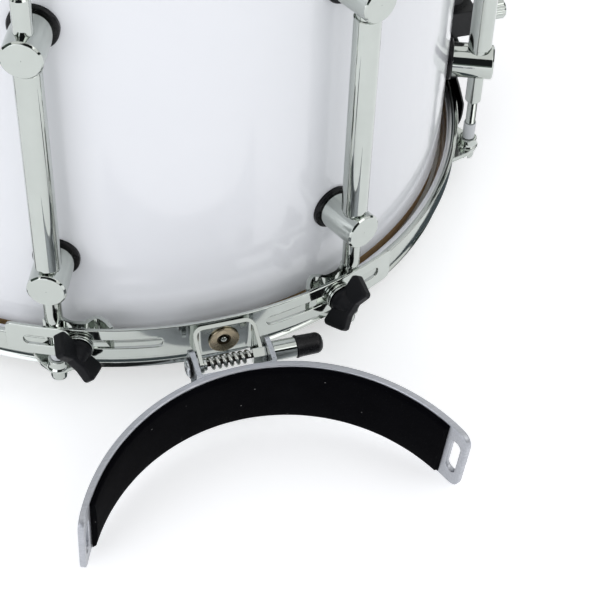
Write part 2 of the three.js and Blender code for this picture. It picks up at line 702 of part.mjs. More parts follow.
// Snare wires
function buildSnares() {
  const half = WIRE_LENGTH / 2;
  const wires = Array.from({ length: WIRE_COUNT }, (_, i) => {
    const y = (i - (WIRE_COUNT - 1) / 2) * WIRE_SPACING;
    return crossBar(WIRE_RADIUS, -half - HOLD, half + HOLD, 4).translate(0, y, WIRE_LEVEL);
  });
  const halfWidth = (WIRE_COUNT * WIRE_SPACING) / 2;
  const low = WIRE_LEVEL - END_PLATE_THICKNESS / 2;
  const ends = [-half - END_PLATE_LENGTH, half].map((x) =>
    block([x, -halfWidth, low], [x + END_PLATE_LENGTH, halfWidth, low + END_PLATE_THICKNESS]),
  );
  piece("snare_wires", steel, join(...[...ends, ...wires].map(solidOf)));
}

// The strap's path beside the hoop, and the level part of its path under the rim
function sidePath(top) {
  const outside = HOOP_RADIUS + HOOP_LIP;
  const below = RIM_LOW - STRAP_THICKNESS - GAP;
  const sides = STRAP_SIDE_SHARES.map(([bulge, height]) => [
    outside + bulge * STRAP_BULGE, RIM_LOW + height * (LIP_LOW - RIM_LOW),
  ]);
  return [
    [HOOP_RIM_BORE - GAP, below],
    [RIM_FLARE_RADIUS + OVERRUN, below],
    ...sides,
    [STRAP_PLANE, LIP_LOW + OVERRUN],
    [STRAP_PLANE, top],
  ];
}

function levelPath() {
  const under = WIRE_LEVEL - END_PLATE_THICKNESS / 2 - GAP - STRAP_THICKNESS / 2;
  const below = RIM_LOW - STRAP_THICKNESS - GAP;
  const inner = Math.sqrt(HOOP_RIM_BORE ** 2 - (STRAP_WIDTH / 2) ** 2) - OVERRUN;
  const start = WIRE_LENGTH / 2 + END_PLATE_LENGTH - STRAP_LAP;
  return [
    [start, under],
    [inner - STRAP_RAMP, under],
    [inner, below],
    [HOOP_RIM_BORE + HOLD, below],
  ];
}

// Strap clamp: a bar held on the lip by a row of screws
const clampScrewAngles = Array.from(
  { length: CLAMP_SCREW_COUNT },
  (_, i) => (i - (CLAMP_SCREW_COUNT - 1) / 2) * CLAMP_SCREW_ANGLE,
);

function clampHoles(height) {
  const far = CLAMP_BACK + CLAMP_THICKNESS + OVERRUN;
  return clampScrewAngles.map((angle) => {
    const hole = outwardBar(CLAMP_SCREW_RADIUS + GAP, LIP_BACK - OVERRUN, far, height, HOLE_STEPS);
    return solidOf(hole.rotateZ(degrees(angle)));
  });
}

// A slice of a ring, as wide as the lip
function ringSlice(bore, wall, low, high) {
  const ring = turned([[bore, low], [bore + wall, low], [bore + wall, high], [bore, high]]);
  return frontOf(ring, LIP_HALF);
}

// The clamp bar with its screws
function clampBar(height) {
  const bottom = height - CLAMP_HEIGHT / 2;
  const face = CLAMP_BACK + CLAMP_THICKNESS;
  const bare = ringSlice(CLAMP_BACK, CLAMP_THICKNESS, bottom, bottom + CLAMP_HEIGHT);
  const screws = clampScrewAngles.flatMap((angle) => [
    outwardBar(CLAMP_SCREW_HEAD_RADIUS, face - HOLD, face + CLAMP_SCREW_HEAD_HEIGHT, height, HOLE_STEPS)
      .rotateZ(degrees(angle)),
    outwardBar(CLAMP_SCREW_RADIUS, LIP_BACK, face, height, HOLE_STEPS).rotateZ(degrees(angle)),
  ]);
  return join(bare, ...screws.map(solidOf));
}

function strap(top, height) {
  const side = frontOf(turned(ribbon(sidePath(top), STRAP_THICKNESS)), STRAP_WIDTH / 2);
  const level = ribbon(levelPath(), STRAP_THICKNESS).map(([n, z]) => [-n, z]);
  const whole = join(side, solidOf(sidePlate(level, -STRAP_WIDTH / 2, STRAP_WIDTH / 2)));
  return cut(whole, ...clampHoles(height));
}

// The space that the shell takes, with its clearance
function shellSpace() {
  const low = BUTT_LOW - OVERRUN;
  const high = BLOCK_HIGH + OVERRUN;
  return turned([[0, low], [SHELL_RADIUS + GAP, low], [SHELL_RADIUS + GAP, high], [0, high]]);
}

function blockScrews(height) {
  const seat = Math.sqrt(SHELL_BORE ** 2 - (BLOCK_SCREW_HALF_SPAN + SCREW_HEAD_RADIUS) ** 2) - GAP;
  return [-BLOCK_SCREW_HALF_SPAN, BLOCK_SCREW_HALF_SPAN].map((x) => {
    const head = outwardBar(SCREW_HEAD_RADIUS, seat - SCREW_HEAD_HEIGHT, seat, height, SMALL_STEPS);
    const stem = outwardBar(SCREW_RADIUS, seat - HOLD, SHELL_RADIUS + HOLD, height, HOLE_STEPS);
    return join(solidOf(head.translate(x, 0, 0)), solidOf(stem.translate(x, 0, 0)));
  });
}

// Strainer
function strainerBlock() {
  const low = BLOCK_LOW;
  const side = [
    [-BLOCK_FACE, low + BLOCK_BEVEL],
    [-BLOCK_FACE, BLOCK_HIGH - BLOCK_BEVEL],
    [-BLOCK_FACE + BLOCK_BEVEL, BLOCK_HIGH],
    [-INNER_FLAT, BLOCK_HIGH],
    [-INNER_FLAT, low],
    [-BLOCK_FACE + BLOCK_BEVEL / 2, low],
  ];
  const cheek = [
    [-BLOCK_FACE + HOLD, CHEEK_LOW],
    [-CHEEK_FACE, LEVER_PIVOT_HEIGHT - LEVER_HUB_RADIUS],
    [-CHEEK_FACE, LEVER_PIVOT_HEIGHT + LEVER_HUB_RADIUS],
    [-BLOCK_FACE + HOLD, LEVER_PIVOT_HEIGHT + LEVER_HUB_RADIUS],
  ];
  const cheeks = [-1, 1].map((hand) => {
    const edges = [hand * (CHEEK_HALF - CHEEK_THICKNESS), hand * CHEEK_HALF].sort((a, b) => a - b);
    return solidOf(sidePlate(cheek, ...edges));
  });
  const pinHole = crossBar(LEVER_PIN_RADIUS + GAP, -CHEEK_HALF - OVERRUN, CHEEK_HALF + OVERRUN, SMALL_STEPS)
    .translate(0, -LEVER_PIVOT, LEVER_PIVOT_HEIGHT);
  const rail = block(
    [-RAIL_SLOT_HALF, -RAIL_SLOT_FRONT, low - OVERRUN],
    [RAIL_SLOT_HALF, -RAIL_SLOT_BACK, CARRIAGE_HIGH + TONGUE_LENGTH + OVERRUN],
  );
  const body = join(solidOf(sidePlate(side, -BLOCK_HALF, BLOCK_HALF)), ...cheeks);
  const bare = cut(body, shellSpace(), solidOf(pinHole), solidOf(rail));
  return join(bare, ...blockScrews((BLOCK_LOW + BLOCK_HIGH) / 2));
}

function carriage() {
  const body = solidOf(
    block([-CARRIAGE_HALF, -CARRIAGE_FACE, CARRIAGE_LOW], [CARRIAGE_HALF, -CARRIAGE_BACK, CARRIAGE_HIGH]),
  );
  const lip = ringSlice(LIP_BACK, LIP_THICKNESS, LIP_LOW, CARRIAGE_LOW + CLAMP_THICKNESS);
  const tongue = solidOf(
    block(
      [-RAIL_SLOT_HALF + GAP, -RAIL_SLOT_FRONT + GAP, CARRIAGE_HIGH - HOLD],
      [RAIL_SLOT_HALF - GAP, -RAIL_SLOT_BACK - GAP, CARRIAGE_HIGH + TONGUE_LENGTH],
    ),
  );
  const bores = [-KNOB_OFFSET, KNOB_OFFSET].map((x) => {
    const bore = outwardBar(
      KNOB_SHAFT_RADIUS + 2 * GAP, CARRIAGE_FACE - KNOB_SHAFT_LENGTH - GAP, CARRIAGE_FACE + OVERRUN,
      knobHeight(), HOLE_STEPS,
    );
    return solidOf(bore.translate(x, 0, 0));
  });
  return cut(join(body, lip, tongue), shellSpace(), ...bores, ...clampHoles(CLAMP_LEVEL));
}

function knobHeight() {
  return (CARRIAGE_LOW + CARRIAGE_HIGH) / 2 + HOLD;
}

function knob() {
  const back = CARRIAGE_FACE + GAP;
  const far = back + KNOB_LENGTH;
  const body = outwardBar(KNOB_RADIUS, back, far - KNOB_CHAMFER, knobHeight());
  const nose = outwardBar(
    KNOB_RADIUS, far - KNOB_CHAMFER, far, knobHeight(), ROUND_STEPS, KNOB_RADIUS - KNOB_CHAMFER,
  );
  const stem = outwardBar(
    KNOB_SHAFT_RADIUS, CARRIAGE_FACE - KNOB_SHAFT_LENGTH, back + HOLD, knobHeight(), HOLE_STEPS,
  );
  return geometryOf(join(solidOf(body), solidOf(nose), solidOf(stem)));
}

function lever() {
  const front = LEVER_PIVOT + LEVER_THICKNESS / 2;
  const low = LEVER_PIVOT_HEIGHT - LEVER_LENGTH;
  const back = -front + LEVER_THICKNESS;
  const side = [
    [-front, LEVER_PIVOT_HEIGHT],
    [-front, low],
    [-front - LEVER_KICK, low - LEVER_KICK_LENGTH],
    [back - LEVER_KICK, low - LEVER_KICK_LENGTH],
    [back, low],
    [back, LEVER_PIVOT_HEIGHT],
  ];
  const arm = solidOf(sidePlate(side, -LEVER_HALF, LEVER_HALF));
  const reach = CHEEK_HALF - CHEEK_THICKNESS - GAP;
  const hub = solidOf(
    crossBar(LEVER_HUB_RADIUS - HOLD, -reach, reach).translate(0, -LEVER_PIVOT, LEVER_PIVOT_HEIGHT),
  );
  const pin = crossBar(LEVER_PIN_RADIUS, -CHEEK_HALF, CHEEK_HALF, SMALL_STEPS);
  return join(arm, hub, solidOf(pin.translate(0, -LEVER_PIVOT, LEVER_PIVOT_HEIGHT)));
}

function buildStrainer() {
  const station = stationGroup(90);
  piece("strainer_block", blackMetal, strainerBlock(), station);
  piece("strainer_carriage", blackMetal, carriage(), station);
  piece("strainer_lever", chrome, lever(), station);
  piece("tension_knob_front", chrome, knob().translate(-KNOB_OFFSET, 0, 0), station);
  piece("tension_knob_rear", chrome, knob().translate(KNOB_OFFSET, 0, 0), station);
  piece("strainer_clamp", chrome, clampBar(CLAMP_LEVEL), station);
  piece("strainer_strap", blackPlastic, strap(CARRIAGE_LOW - GAP, CLAMP_LEVEL), station);
}

// Butt plate, opposite the strainer
function buttBlock() {
  const side = [
    [-BLOCK_FACE, BUTT_LOW + CLAMP_HEIGHT + BLOCK_BEVEL],
    [-BLOCK_FACE, BUTT_HIGH - BLOCK_BEVEL],
    [-BLOCK_FACE + BLOCK_BEVEL, BUTT_HIGH],
    [-INNER_FLAT, BUTT_HIGH],
    [-INNER_FLAT, CARRIAGE_LOW],
    [-BLOCK_FACE, CARRIAGE_LOW],
  ];
  const body = solidOf(sidePlate(side, -BLOCK_HALF, BLOCK_HALF));
  const lip = ringSlice(LIP_BACK, LIP_THICKNESS, LIP_LOW, CARRIAGE_LOW + CLAMP_THICKNESS);
  const bare = cut(join(body, lip), shellSpace(), ...clampHoles(CLAMP_LEVEL));
  return join(bare, ...blockScrews((BUTT_LOW + BUTT_HIGH) / 2));
}

function buildButt() {
  const station = stationGroup(-90);
  piece("butt_plate", blackMetal, buttBlock(), station);
  piece("butt_clamp", chrome, clampBar(CLAMP_LEVEL), station);
  piece("butt_strap", blackPlastic, strap(CARRIAGE_LOW - GAP, CLAMP_LEVEL), station);
}

// Leg rest: slotted band
function bandSlot(hand) {
  const near = hand > 0 ? SLOT_NEAR_ANGLE : -SLOT_FAR_ANGLE;
  const far = hand > 0 ? SLOT_FAR_ANGLE : -SLOT_NEAR_ANGLE;
  const half = SLOT_HEIGHT / 2;
  const inset = THREE.MathUtils.radToDeg(half / BAND_RADIUS);
  const run = sector(
    BAND_BORE - OVERRUN, BAND_RADIUS + OVERRUN, far - inset, BAND_MIDDLE - half, BAND_MIDDLE + half,
    SLOT_STEPS, near + inset,
  );
  const ends = [near + inset, far - inset].map((angle) =>
    solidOf(
      outwardBar(half, BAND_BORE - OVERRUN, BAND_RADIUS + OVERRUN, BAND_MIDDLE, SMALL_STEPS)
        .rotateZ(degrees(angle)),
    ),
  );
  return join(solidOf(run), ...ends);
}

function band() {
  const low = EDGE + BAND_LOW;
  const whole = solidOf(
    sector(BAND_BORE, BAND_RADIUS, BAND_HALF_ANGLE, low, low + BAND_HEIGHT, BAND_STEPS),
  );
  const corners = [-1, 1].flatMap((hand) =>
    [low, low + BAND_HEIGHT].map((height) => {
      const wedge = block(
        [-BAND_CORNER, -BAND_RADIUS - OVERRUN, -BAND_CORNER],
        [BAND_CORNER, -BAND_BORE + OVERRUN, BAND_CORNER],
      );
      return solidOf(
        wedge.rotateY(Math.PI / 4).translate(0, 0, height).rotateZ(degrees(hand * BAND_HALF_ANGLE)),
      );
    }),
  );
  const rivetHole = outwardBar(
    RIVET_RADIUS + GAP, BAND_BORE - OVERRUN, BAND_RADIUS + OVERRUN, RIVET_LEVEL, SMALL_STEPS,
  );
  return cut(whole, bandSlot(-1), bandSlot(1), ...corners, solidOf(rivetHole.translate(REST_SHIFT, 0, 0)));
}

// Hooked clamp plate: its path [along, distance] starts at the arch and ends behind the tension rod
function hookPath() {
  const rodAlong = -ROD_CIRCLE * Math.sin(degrees(lugAngles[1] - WING_ANGLE));
  const rodOut = ROD_CIRCLE * Math.cos(degrees(lugAngles[1] - WING_ANGLE));
  const behind = rodOut - ROD_RADIUS - GAP - HOOK_THICKNESS / 2;
  const arch = HOOK_FLAT - 2 * HOOK_THICKNESS;
  return [
    [8.1 * HOOK_THICKNESS * 0.95, BAND_BORE - HOOK_THICKNESS],
    [6.4 * HOOK_THICKNESS, HOOK_FLAT - HOOK_THICKNESS / 2],
    [5.2 * HOOK_THICKNESS, arch + HOOK_THICKNESS / 2],
    [4 * HOOK_THICKNESS, arch],
    [2.8 * HOOK_THICKNESS, arch + HOOK_THICKNESS / 2],
    [1.7 * HOOK_THICKNESS, HOOK_FLAT - HOOK_THICKNESS / 5],
    [HOOK_THICKNESS, HOOK_FLAT],
    [-2 * HOOK_THICKNESS, HOOK_FLAT],
    [(rodAlong - 2 * HOOK_THICKNESS) / 2, HOOK_FLAT - HOOK_THICKNESS],
    [rodAlong + HOOK_THICKNESS, behind],
    [rodAlong, behind],
    [rodAlong - HOOK_THICKNESS * 1.6, behind + HOOK_THICKNESS / 2],
    [rodAlong - HOOK_THICKNESS * 2.5, behind + HOOK_THICKNESS * 1.6],
  ];
}

function hook(hand) {
  const path = hookPath().map(([along, out]) => [-hand * along, -out]);
  const sides = [1, -1].map((side) =>
    path.map(([x, y], i) => {
      const [x0, y0] = path[Math.max(i - 1, 0)];
      const [x1, y1] = path[Math.min(i + 1, path.length - 1)];
      const offset = (side * HOOK_THICKNESS) / 2 / Math.hypot(x1 - x0, y1 - y0);
      return [x - (y1 - y0) * offset, y + (x1 - x0) * offset];
    }),
  );
  const low = EDGE + HOOK_LOW;
  const sheet = plate([...sides[0], ...sides[1].reverse()], low, low + HOOK_HEIGHT);
  const bore = outwardBar(BOLT_BORE, HOOK_FLAT - 4 * HOOK_THICKNESS, BAND_BORE, BAND_MIDDLE, SMALL_STEPS);
  return cut(solidOf(sheet), solidOf(bore));
}

// Two washers, one on the other, as one piece
function washerPair() {
  const near = BAND_RADIUS + GAP;
  const far = near + 2 * WASHER_THICKNESS + GAP;
  const pair = plate(arc(WASHER_RADIUS, ROUND_STEPS), near, far, [arc(BOLT_BORE, SMALL_STEPS)]);
  return pair.rotateX(Math.PI / 2).translate(0, 0, BAND_MIDDLE);
}

// Wing screw: two lobes on a round hub, widest near the band, with a shallow valley between their ends
function wing() {
  const outlineShares = [
    [0.92, 0], [1, 0.12], [0.88, 0.55], [0.76, 0.94], [0.64, 1], [0.22, 0.8],
  ];
  const half = outlineShares.map(([span, out]) => [span * WING_HALF_SPAN, out * WING_LENGTH]);
  const other = [...half].reverse().map(([x, y]) => [-x, y]);
  const lobes = plate([...half, ...other], -WING_THICKNESS / 2, WING_THICKNESS / 2);
  const hub = bar(WING_HUB_RADIUS, 0, WING_LENGTH / 2, ROUND_STEPS, WING_THICKNESS / 2 + GAP)
    .rotateX(-Math.PI / 2);
  const bolt = bar(BOLT_RADIUS, BOLT_BACK - WING_BACK, HOLD, SMALL_STEPS).rotateX(-Math.PI / 2);
  return geometryOf(join(...[lobes, hub, bolt].map(solidOf))).rotateX(Math.PI).translate(0, -WING_BACK, 0);
}

function buildBand() {
  piece("leg_rest_band", chrome, band());
  [-1, 1].forEach((hand) => {
    const name = hand < 0 ? "left" : "right";
    const station = stationGroup(hand * WING_ANGLE);
    piece(`clamp_hook_${name}`, chrome, hook(hand), station);
    piece(`washer_pair_${name}`, chrome, washerPair(), station);
    const tilt = Math.PI / 2 + hand * degrees(WING_TILT);
    piece(`wing_screw_${name}`, blackPlastic, wing().rotateY(tilt).translate(0, 0, BAND_MIDDLE), station);
  });
}

// Leg rest: hinge on the front of the band
const hinge = new THREE.Group();
hinge.position.set(REST_SHIFT, -HINGE_DISTANCE, HINGE_AXIS_HEIGHT);
drum.add(hinge);

// From the hinge axis back to the front of the band, and to the front of the bracket's base
const BRACKET_BACK = HINGE_DISTANCE - BAND_RADIUS - GAP;
const BRACKET_FRONT = BRACKET_BACK - BRACKET_WALL;

function bracket() {
  const low = BRACKET_LOW - HINGE_HEIGHT;
  const high = BRACKET_HIGH - HINGE_HEIGHT;
  const eye = arc(
    BRACKET_EYE_RADIUS, SMALL_STEPS, Math.PI / 2 + Math.PI / SMALL_STEPS,
    (3 * Math.PI) / 2 - Math.PI / SMALL_STEPS,
  );
  const leg = [
    ...eye,
    [BRACKET_BACK - HOLD, low],
    [BRACKET_BACK, low + HOLD],
    [BRACKET_BACK, high - HOLD],
    [BRACKET_BACK - HOLD, high],
  ];
  const legs = [-BRACKET_HALF, BRACKET_HALF - BRACKET_WALL].map(
    (x) => solidOf(sidePlate(leg, x, x + BRACKET_WALL)),
  );
  const base = solidOf(block([-BRACKET_HALF, BRACKET_FRONT, low], [BRACKET_HALF, BRACKET_BACK, high]));
  const seat = solidOf(crossBar(SPRING_SEAT_RADIUS, -BRACKET_HALF + HOLD, SPRING_SEAT_FACE, SMALL_STEPS));
  const rivetHole = bar(RIVET_RADIUS + GAP, BRACKET_FRONT - OVERRUN, BRACKET_BACK + OVERRUN, SMALL_STEPS)
    .rotateX(-Math.PI / 2)
    .translate(0, 0, RIVET_LEVEL - HINGE_AXIS_HEIGHT);
  const axleHole = crossBar(AXLE_RADIUS + GAP, -BRACKET_HALF - OVERRUN, 0, SMALL_STEPS);
  const hexHole = crossBar(HEX_RADIUS + GAP, 0, BRACKET_HALF + OVERRUN, HOLE_STEPS);
  return cut(join(base, seat, ...legs), solidOf(rivetHole), solidOf(axleHole), solidOf(hexHole));
}

function rivet() {
  const front = -BRACKET_FRONT + GAP;
  const back = -BRACKET_BACK - BAND_THICKNESS - 2 * GAP;
  const head = bar(RIVET_HEAD_RADIUS, front, front + RIVET_HEAD_HEIGHT);
  const stem = bar(RIVET_RADIUS, back - HOLD, front + HOLD, SMALL_STEPS);
  const tail = bar(RIVET_RADIUS * 1.7, back - RIVET_HEAD_HEIGHT, back, SMALL_STEPS);
  const well = bar(RIVET_WELL_RADIUS, front - HOLD, front + RIVET_HEAD_HEIGHT + OVERRUN, SMALL_STEPS);
  const solid = cut(join(solidOf(head), solidOf(stem), solidOf(tail)), solidOf(well));
  return geometryOf(solid).rotateX(Math.PI / 2).translate(0, 0, RIVET_LEVEL - HINGE_AXIS_HEIGHT);
}

// The coil spring as one unbroken tube about X
class Coil extends THREE.Curve {
  constructor(start, length) {
    super();
    this.start = start;
    this.length = length;
  }
  getPoint(t, target = new THREE.Vector3()) {
    const angle = 2 * Math.PI * SPRING_CURLS * t;
    return target.set(
      this.start + this.length * t, SPRING_RADIUS * Math.cos(angle), SPRING_RADIUS * Math.sin(angle),
    );
  }
  getPointAt(t, target) {
    return this.getPoint(t, target);
  }
}

function spring(start, length) {
  const curve = new Coil(start, length);
  const section = outline(arc(SPRING_WIRE_RADIUS, 5));
  return new THREE.ExtrudeGeometry(
    section, { steps: 8 * SPRING_CURLS, extrudePath: curve, bevelEnabled: false },
  );
}

// Least gap between one curl and the next, measured on the points of the tube
function springGap(geometry) {
  const place = geometry.getAttribute("position");
  const points = Array.from(
    { length: place.count }, (_, i) => new THREE.Vector3().fromBufferAttribute(place, i),
  );
  const pitch = (Math.max(...points.map((p) => p.x)) - Math.min(...points.map((p) => p.x))) / SPRING_CURLS;
  let least = Infinity;
  for (const a of points) {
    for (const b of points) {
      const along = b.x - a.x;
      const sameTurn = Math.hypot(a.y - b.y, a.z - b.z) > SPRING_RADIUS / 2;
      if (along > pitch / 2 && !sameTurn) least = Math.min(least, a.distanceTo(b));
    }
  }
  return least;
}

function buildHinge() {
  piece("hinge_bracket", chrome, bracket(), hinge);
  piece("bracket_rivet", steel, rivet(), hinge);
  const springStart = SPRING_SEAT_FACE + SPRING_CLEARANCE + SPRING_WIRE_RADIUS;
  const springLength = HEX_START - SPRING_CLEARANCE - SPRING_WIRE_RADIUS - springStart;
  const coil = spring(springStart, springLength);
  console.log(`release_spring: least gap between curls ${springGap(coil).toFixed(2)} mm`);
  piece("release_spring", steel, coil, hinge);
  const sleeveStart = YOKE_FACE + SLEEVE_GAP;
  const sleeveEnd = sleeveStart + RELEASE_SLEEVE_LENGTH;
  const capEnd = sleeveEnd - CAP_OVERLAP + CAP_LENGTH;
  const nutStart = -YOKE_FACE - GAP - END_WASHER_THICKNESS;
  const axleStart = nutStart - END_NUT_LENGTH - AXLE_OVERHANG;
  const axleEnd = sleeveEnd + CAP_OVERLAP;
  const onAxle = crossBar(AXLE_RADIUS + GAP, axleStart - OVERRUN, axleEnd, SMALL_STEPS);
  const axle = [
    crossBar(AXLE_RADIUS, axleStart, axleEnd - GAP, SMALL_STEPS),
    crossBar(HEX_RADIUS, HEX_START, HEX_START + HEX_LENGTH, HOLE_STEPS),
    crossBar(RELEASE_SLEEVE_RADIUS, sleeveStart, sleeveEnd),
  ];
  piece("release_axle", chrome, join(...axle.map(solidOf)), hinge);
  const sleeveSpace = solidOf(crossBar(RELEASE_SLEEVE_RADIUS + GAP, sleeveStart, sleeveEnd + GAP));
  const capBody = solidOf(
    crossBar(CAP_RADIUS, sleeveEnd - CAP_OVERLAP, capEnd, ROUND_STEPS, CAP_TIP_RADIUS),
  );
  piece("release_cap", rubber, cut(capBody, sleeveSpace, solidOf(onAxle)), hinge);
  const nut = [
    crossBar(END_WASHER_RADIUS, nutStart, nutStart + END_WASHER_THICKNESS),
    crossBar(END_NUT_RADIUS, nutStart - END_NUT_LENGTH, nutStart + HOLD / 2, HOLE_STEPS),
  ];
  piece("axle_nut", steel, cut(join(...nut.map(solidOf)), solidOf(onAxle)), hinge);
}

// Leg rest: yoke, plate and pad
const rest = new THREE.Group();
rest.rotation.x = degrees(REST_TILT);
hinge.add(rest);

function yoke() {
  const back = -PLATE_OFFSET + GAP;
  const eye = arc(
    YOKE_EYE_RADIUS, SMALL_STEPS, -Math.PI / 2 + Math.PI / SMALL_STEPS, Math.PI / 2 - Math.PI / SMALL_STEPS,
  );
  const ear = [
    [back + YOKE_WALL, -YOKE_DOWN],
    ...eye,
    [back + YOKE_WALL, YOKE_UP],
    [back, YOKE_UP],
    [back, -YOKE_DOWN],
  ];
  const ears = [-YOKE_FACE, YOKE_FACE - YOKE_WALL].map((x) => solidOf(sidePlate(ear, x, x + YOKE_WALL)));
  const web = solidOf(block([-YOKE_FACE, back, -YOKE_DOWN], [YOKE_FACE, back + YOKE_WALL, YOKE_UP]));
  const axleHole = crossBar(AXLE_RADIUS + GAP, -YOKE_FACE - OVERRUN, 0, SMALL_STEPS);
  const sleeveHole = crossBar(RELEASE_SLEEVE_RADIUS + GAP, 0, YOKE_FACE + OVERRUN, ROUND_STEPS);
  return cut(join(web, ...ears), solidOf(axleHole), solidOf(sleeveHole));
}

function tabSlot(hand) {
  const half = TAB_SLOT_WIDTH / 2;
  const reach = TAB_SLOT_LENGTH / 2 - half;
  const near = PLATE_RADIUS - OVERRUN;
  const far = PLATE_RADIUS + PLATE_THICKNESS + OVERRUN;
  const run = solidOf(block([-half, near, -reach], [half, far, reach]));
  const ends = [-reach, reach].map(
    (z) => solidOf(outwardBar(half, near, far, z, SMALL_STEPS).rotateZ(Math.PI)),
  );
  return join(run, ...ends).rotate([0, 0, -hand * TAB_SLOT_ANGLE]);
}

function tabCorner(hand, edge) {
  const side = PLATE_CORNER / Math.SQRT2;
  const wedge = block(
    [-side, PLATE_RADIUS - OVERRUN, -side], [side, PLATE_RADIUS + PLATE_THICKNESS + OVERRUN, side],
  );
  return solidOf(
    wedge.rotateY(Math.PI / 4).translate(0, 0, (edge * PLATE_WIDTH) / 2)
      .rotateZ(degrees(-hand * PLATE_HALF_ANGLE)),
  );
}

function restPlate() {
  const half = PLATE_WIDTH / 2;
  const bare = sector(
    PLATE_RADIUS, PLATE_RADIUS + PLATE_THICKNESS, PLATE_HALF_ANGLE, -half, half, PLATE_STEPS,
  ).rotateZ(Math.PI);
  const corners = [-1, 1].flatMap((hand) => [-1, 1].map((edge) => tabCorner(hand, edge)));
  return cut(solidOf(bare), tabSlot(-1), tabSlot(1), ...corners);
}

// The pad crowns along its middle and is thinner at its two long edges
function restPad() {
  const outer = PLATE_RADIUS - GAP;
  const half = PAD_WIDTH / 2;
  const crown = turned(
    [
      [outer, -half],
      [outer, half],
      [outer - PAD_EDGE_THICKNESS, half],
      [outer - PAD_THICKNESS, half * 0.7],
      [outer - PAD_THICKNESS, -half * 0.7],
      [outer - PAD_EDGE_THICKNESS, -half],
    ],
    PAD_STEPS,
  );
  const span = sector(
    PLATE_RADIUS / 2, PLATE_RADIUS + OVERRUN, PAD_HALF_ANGLE, -half - OVERRUN, half + OVERRUN, PLATE_STEPS,
  );
  return crown.intersect(solidOf(span.rotateZ(Math.PI)));
}

function buildRest() {
  piece("rest_yoke", steel, yoke(), rest);
  const bend = new THREE.Group();
  bend.position.set(PLATE_SHIFT, -PLATE_OFFSET - PLATE_RADIUS - PLATE_THICKNESS, -PLATE_DROP);
  rest.add(bend);
  piece("rest_plate", aluminium, restPlate(), bend);
  piece("rest_pad", felt, restPad(), bend);
}

buildShell();
buildVent();
buildHead("snare", snareSide);
buildHead("batter", batterSide);
buildHoop("snare", snareSide);
buildHoop("batter", batterSide);
buildRods();
buildLugs();
buildSnares();
buildStrainer();
buildButt();
buildBand();
buildHinge();
buildRest();

export default model;
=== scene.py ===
"""Marching snare drum with a folding leg rest: the dressed model, its studio and its camera.

Sizes are in millimetres. Heights count up from the outer face of the lower, snare-side head, and
angles count from the front of the drum, where the leg rest sits, towards the strainer.
"""

from __future__ import annotations

import logging
import math
from collections.abc import Callable, Iterator, Sequence
from dataclasses import dataclass, field
from enum import Enum

import bmesh
import bpy
from mathutils import Matrix, Vector, noise


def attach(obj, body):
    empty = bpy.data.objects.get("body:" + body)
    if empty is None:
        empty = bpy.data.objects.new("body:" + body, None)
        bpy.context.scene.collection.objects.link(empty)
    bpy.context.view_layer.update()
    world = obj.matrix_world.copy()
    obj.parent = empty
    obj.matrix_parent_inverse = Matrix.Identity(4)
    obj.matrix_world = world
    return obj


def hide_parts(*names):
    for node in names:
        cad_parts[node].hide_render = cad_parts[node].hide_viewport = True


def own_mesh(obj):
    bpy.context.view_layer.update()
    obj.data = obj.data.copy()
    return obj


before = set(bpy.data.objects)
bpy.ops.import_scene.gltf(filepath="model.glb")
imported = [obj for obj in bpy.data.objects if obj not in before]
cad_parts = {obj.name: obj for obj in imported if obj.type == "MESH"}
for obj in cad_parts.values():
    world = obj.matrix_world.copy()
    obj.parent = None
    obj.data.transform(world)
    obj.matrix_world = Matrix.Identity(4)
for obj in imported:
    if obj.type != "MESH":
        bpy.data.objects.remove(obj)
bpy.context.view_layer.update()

log = logging.getLogger("marching_snare_drum")

MM = 0.001
GAP = 0.3
HEAD_TO_HEAD = 255.8  # from the lower head's outer face up to the upper head's, where the origin is
SHELL_RADIUS = 177.8
RIM_BORE = 181.2  # bore of a counter hoop's rim, and of the lips that the straps are clamped on
FLARE_RADIUS = 185.4  # outer radius of the rim's flare, and of those lips
ROD_CIRCLE = 194.0
ROD_BORE = 3.05
POST_HEIGHT = 61.55  # height of a lug's lower post
BAND_FACE = 199.7
BAND_MIDDLE = 25.05  # height of the leg rest band's middle
LUG_COUNT = 8
LUG_ANGLES = [(i - 0.5) * 360 / LUG_COUNT for i in range(LUG_COUNT)]
STRAINER_ANGLE = 90.0
STRAINER_SCREW_HEIGHT = 99.0
BUTT_SCREW_HEIGHT = 48.0
PLATE_SCREWS = (-19.0, 19.0)  # places across of the strainer's or the butt plate's mounting screws
HINGE = Vector((3.2, -215.0, 22.1))  # the leg rest's hinge axis, which runs along X

Flat = tuple[float, float]
Point = tuple[float, float, float]
Face = tuple[int, ...]
Settings = dict[str | int, object]
Work = bmesh.types.BMesh
Thing = bpy.types.Object
Tree = bpy.types.NodeTree
Node = bpy.types.Node
Socket = bpy.types.NodeSocket


class Axis(Enum):
    """An axis to turn a form about."""

    X = "X"
    Y = "Y"
    Z = "Z"


class Cut(Enum):
    """What is kept of a form that another one meets."""

    OUTSIDE = "DIFFERENCE"
    INSIDE = "INTERSECT"


class Body(Enum):
    """The moving bodies that pieces ride on."""

    DRUM = "drum"
    LEG_REST = "leg_rest"
    RELEASE = "release_button"
    WING_LEFT = "wing_left"
    WING_RIGHT = "wing_right"
    LEVER = "strainer_lever"
    CARRIAGE = "strainer_carriage"
    KNOB_FRONT = "knob_front"
    KNOB_REAR = "knob_rear"


class Slot(Enum):
    """The record's material slots."""

    MAPLE = "maple"
    WHITE_FINISH = "white_finish"
    FILM = "film"
    FLESH_ALUMINIUM = "flesh_aluminium"
    CHROME = "chrome"
    STEEL = "steel"
    BLACK_METAL = "black_metal"
    BLACK_STRAP = "black_strap"
    BLACK_PLASTIC = "black_plastic"
    RUBBER = "rubber"
    PLATE_ALUMINIUM = "plate_aluminium"
    FELT = "felt"


# Forms


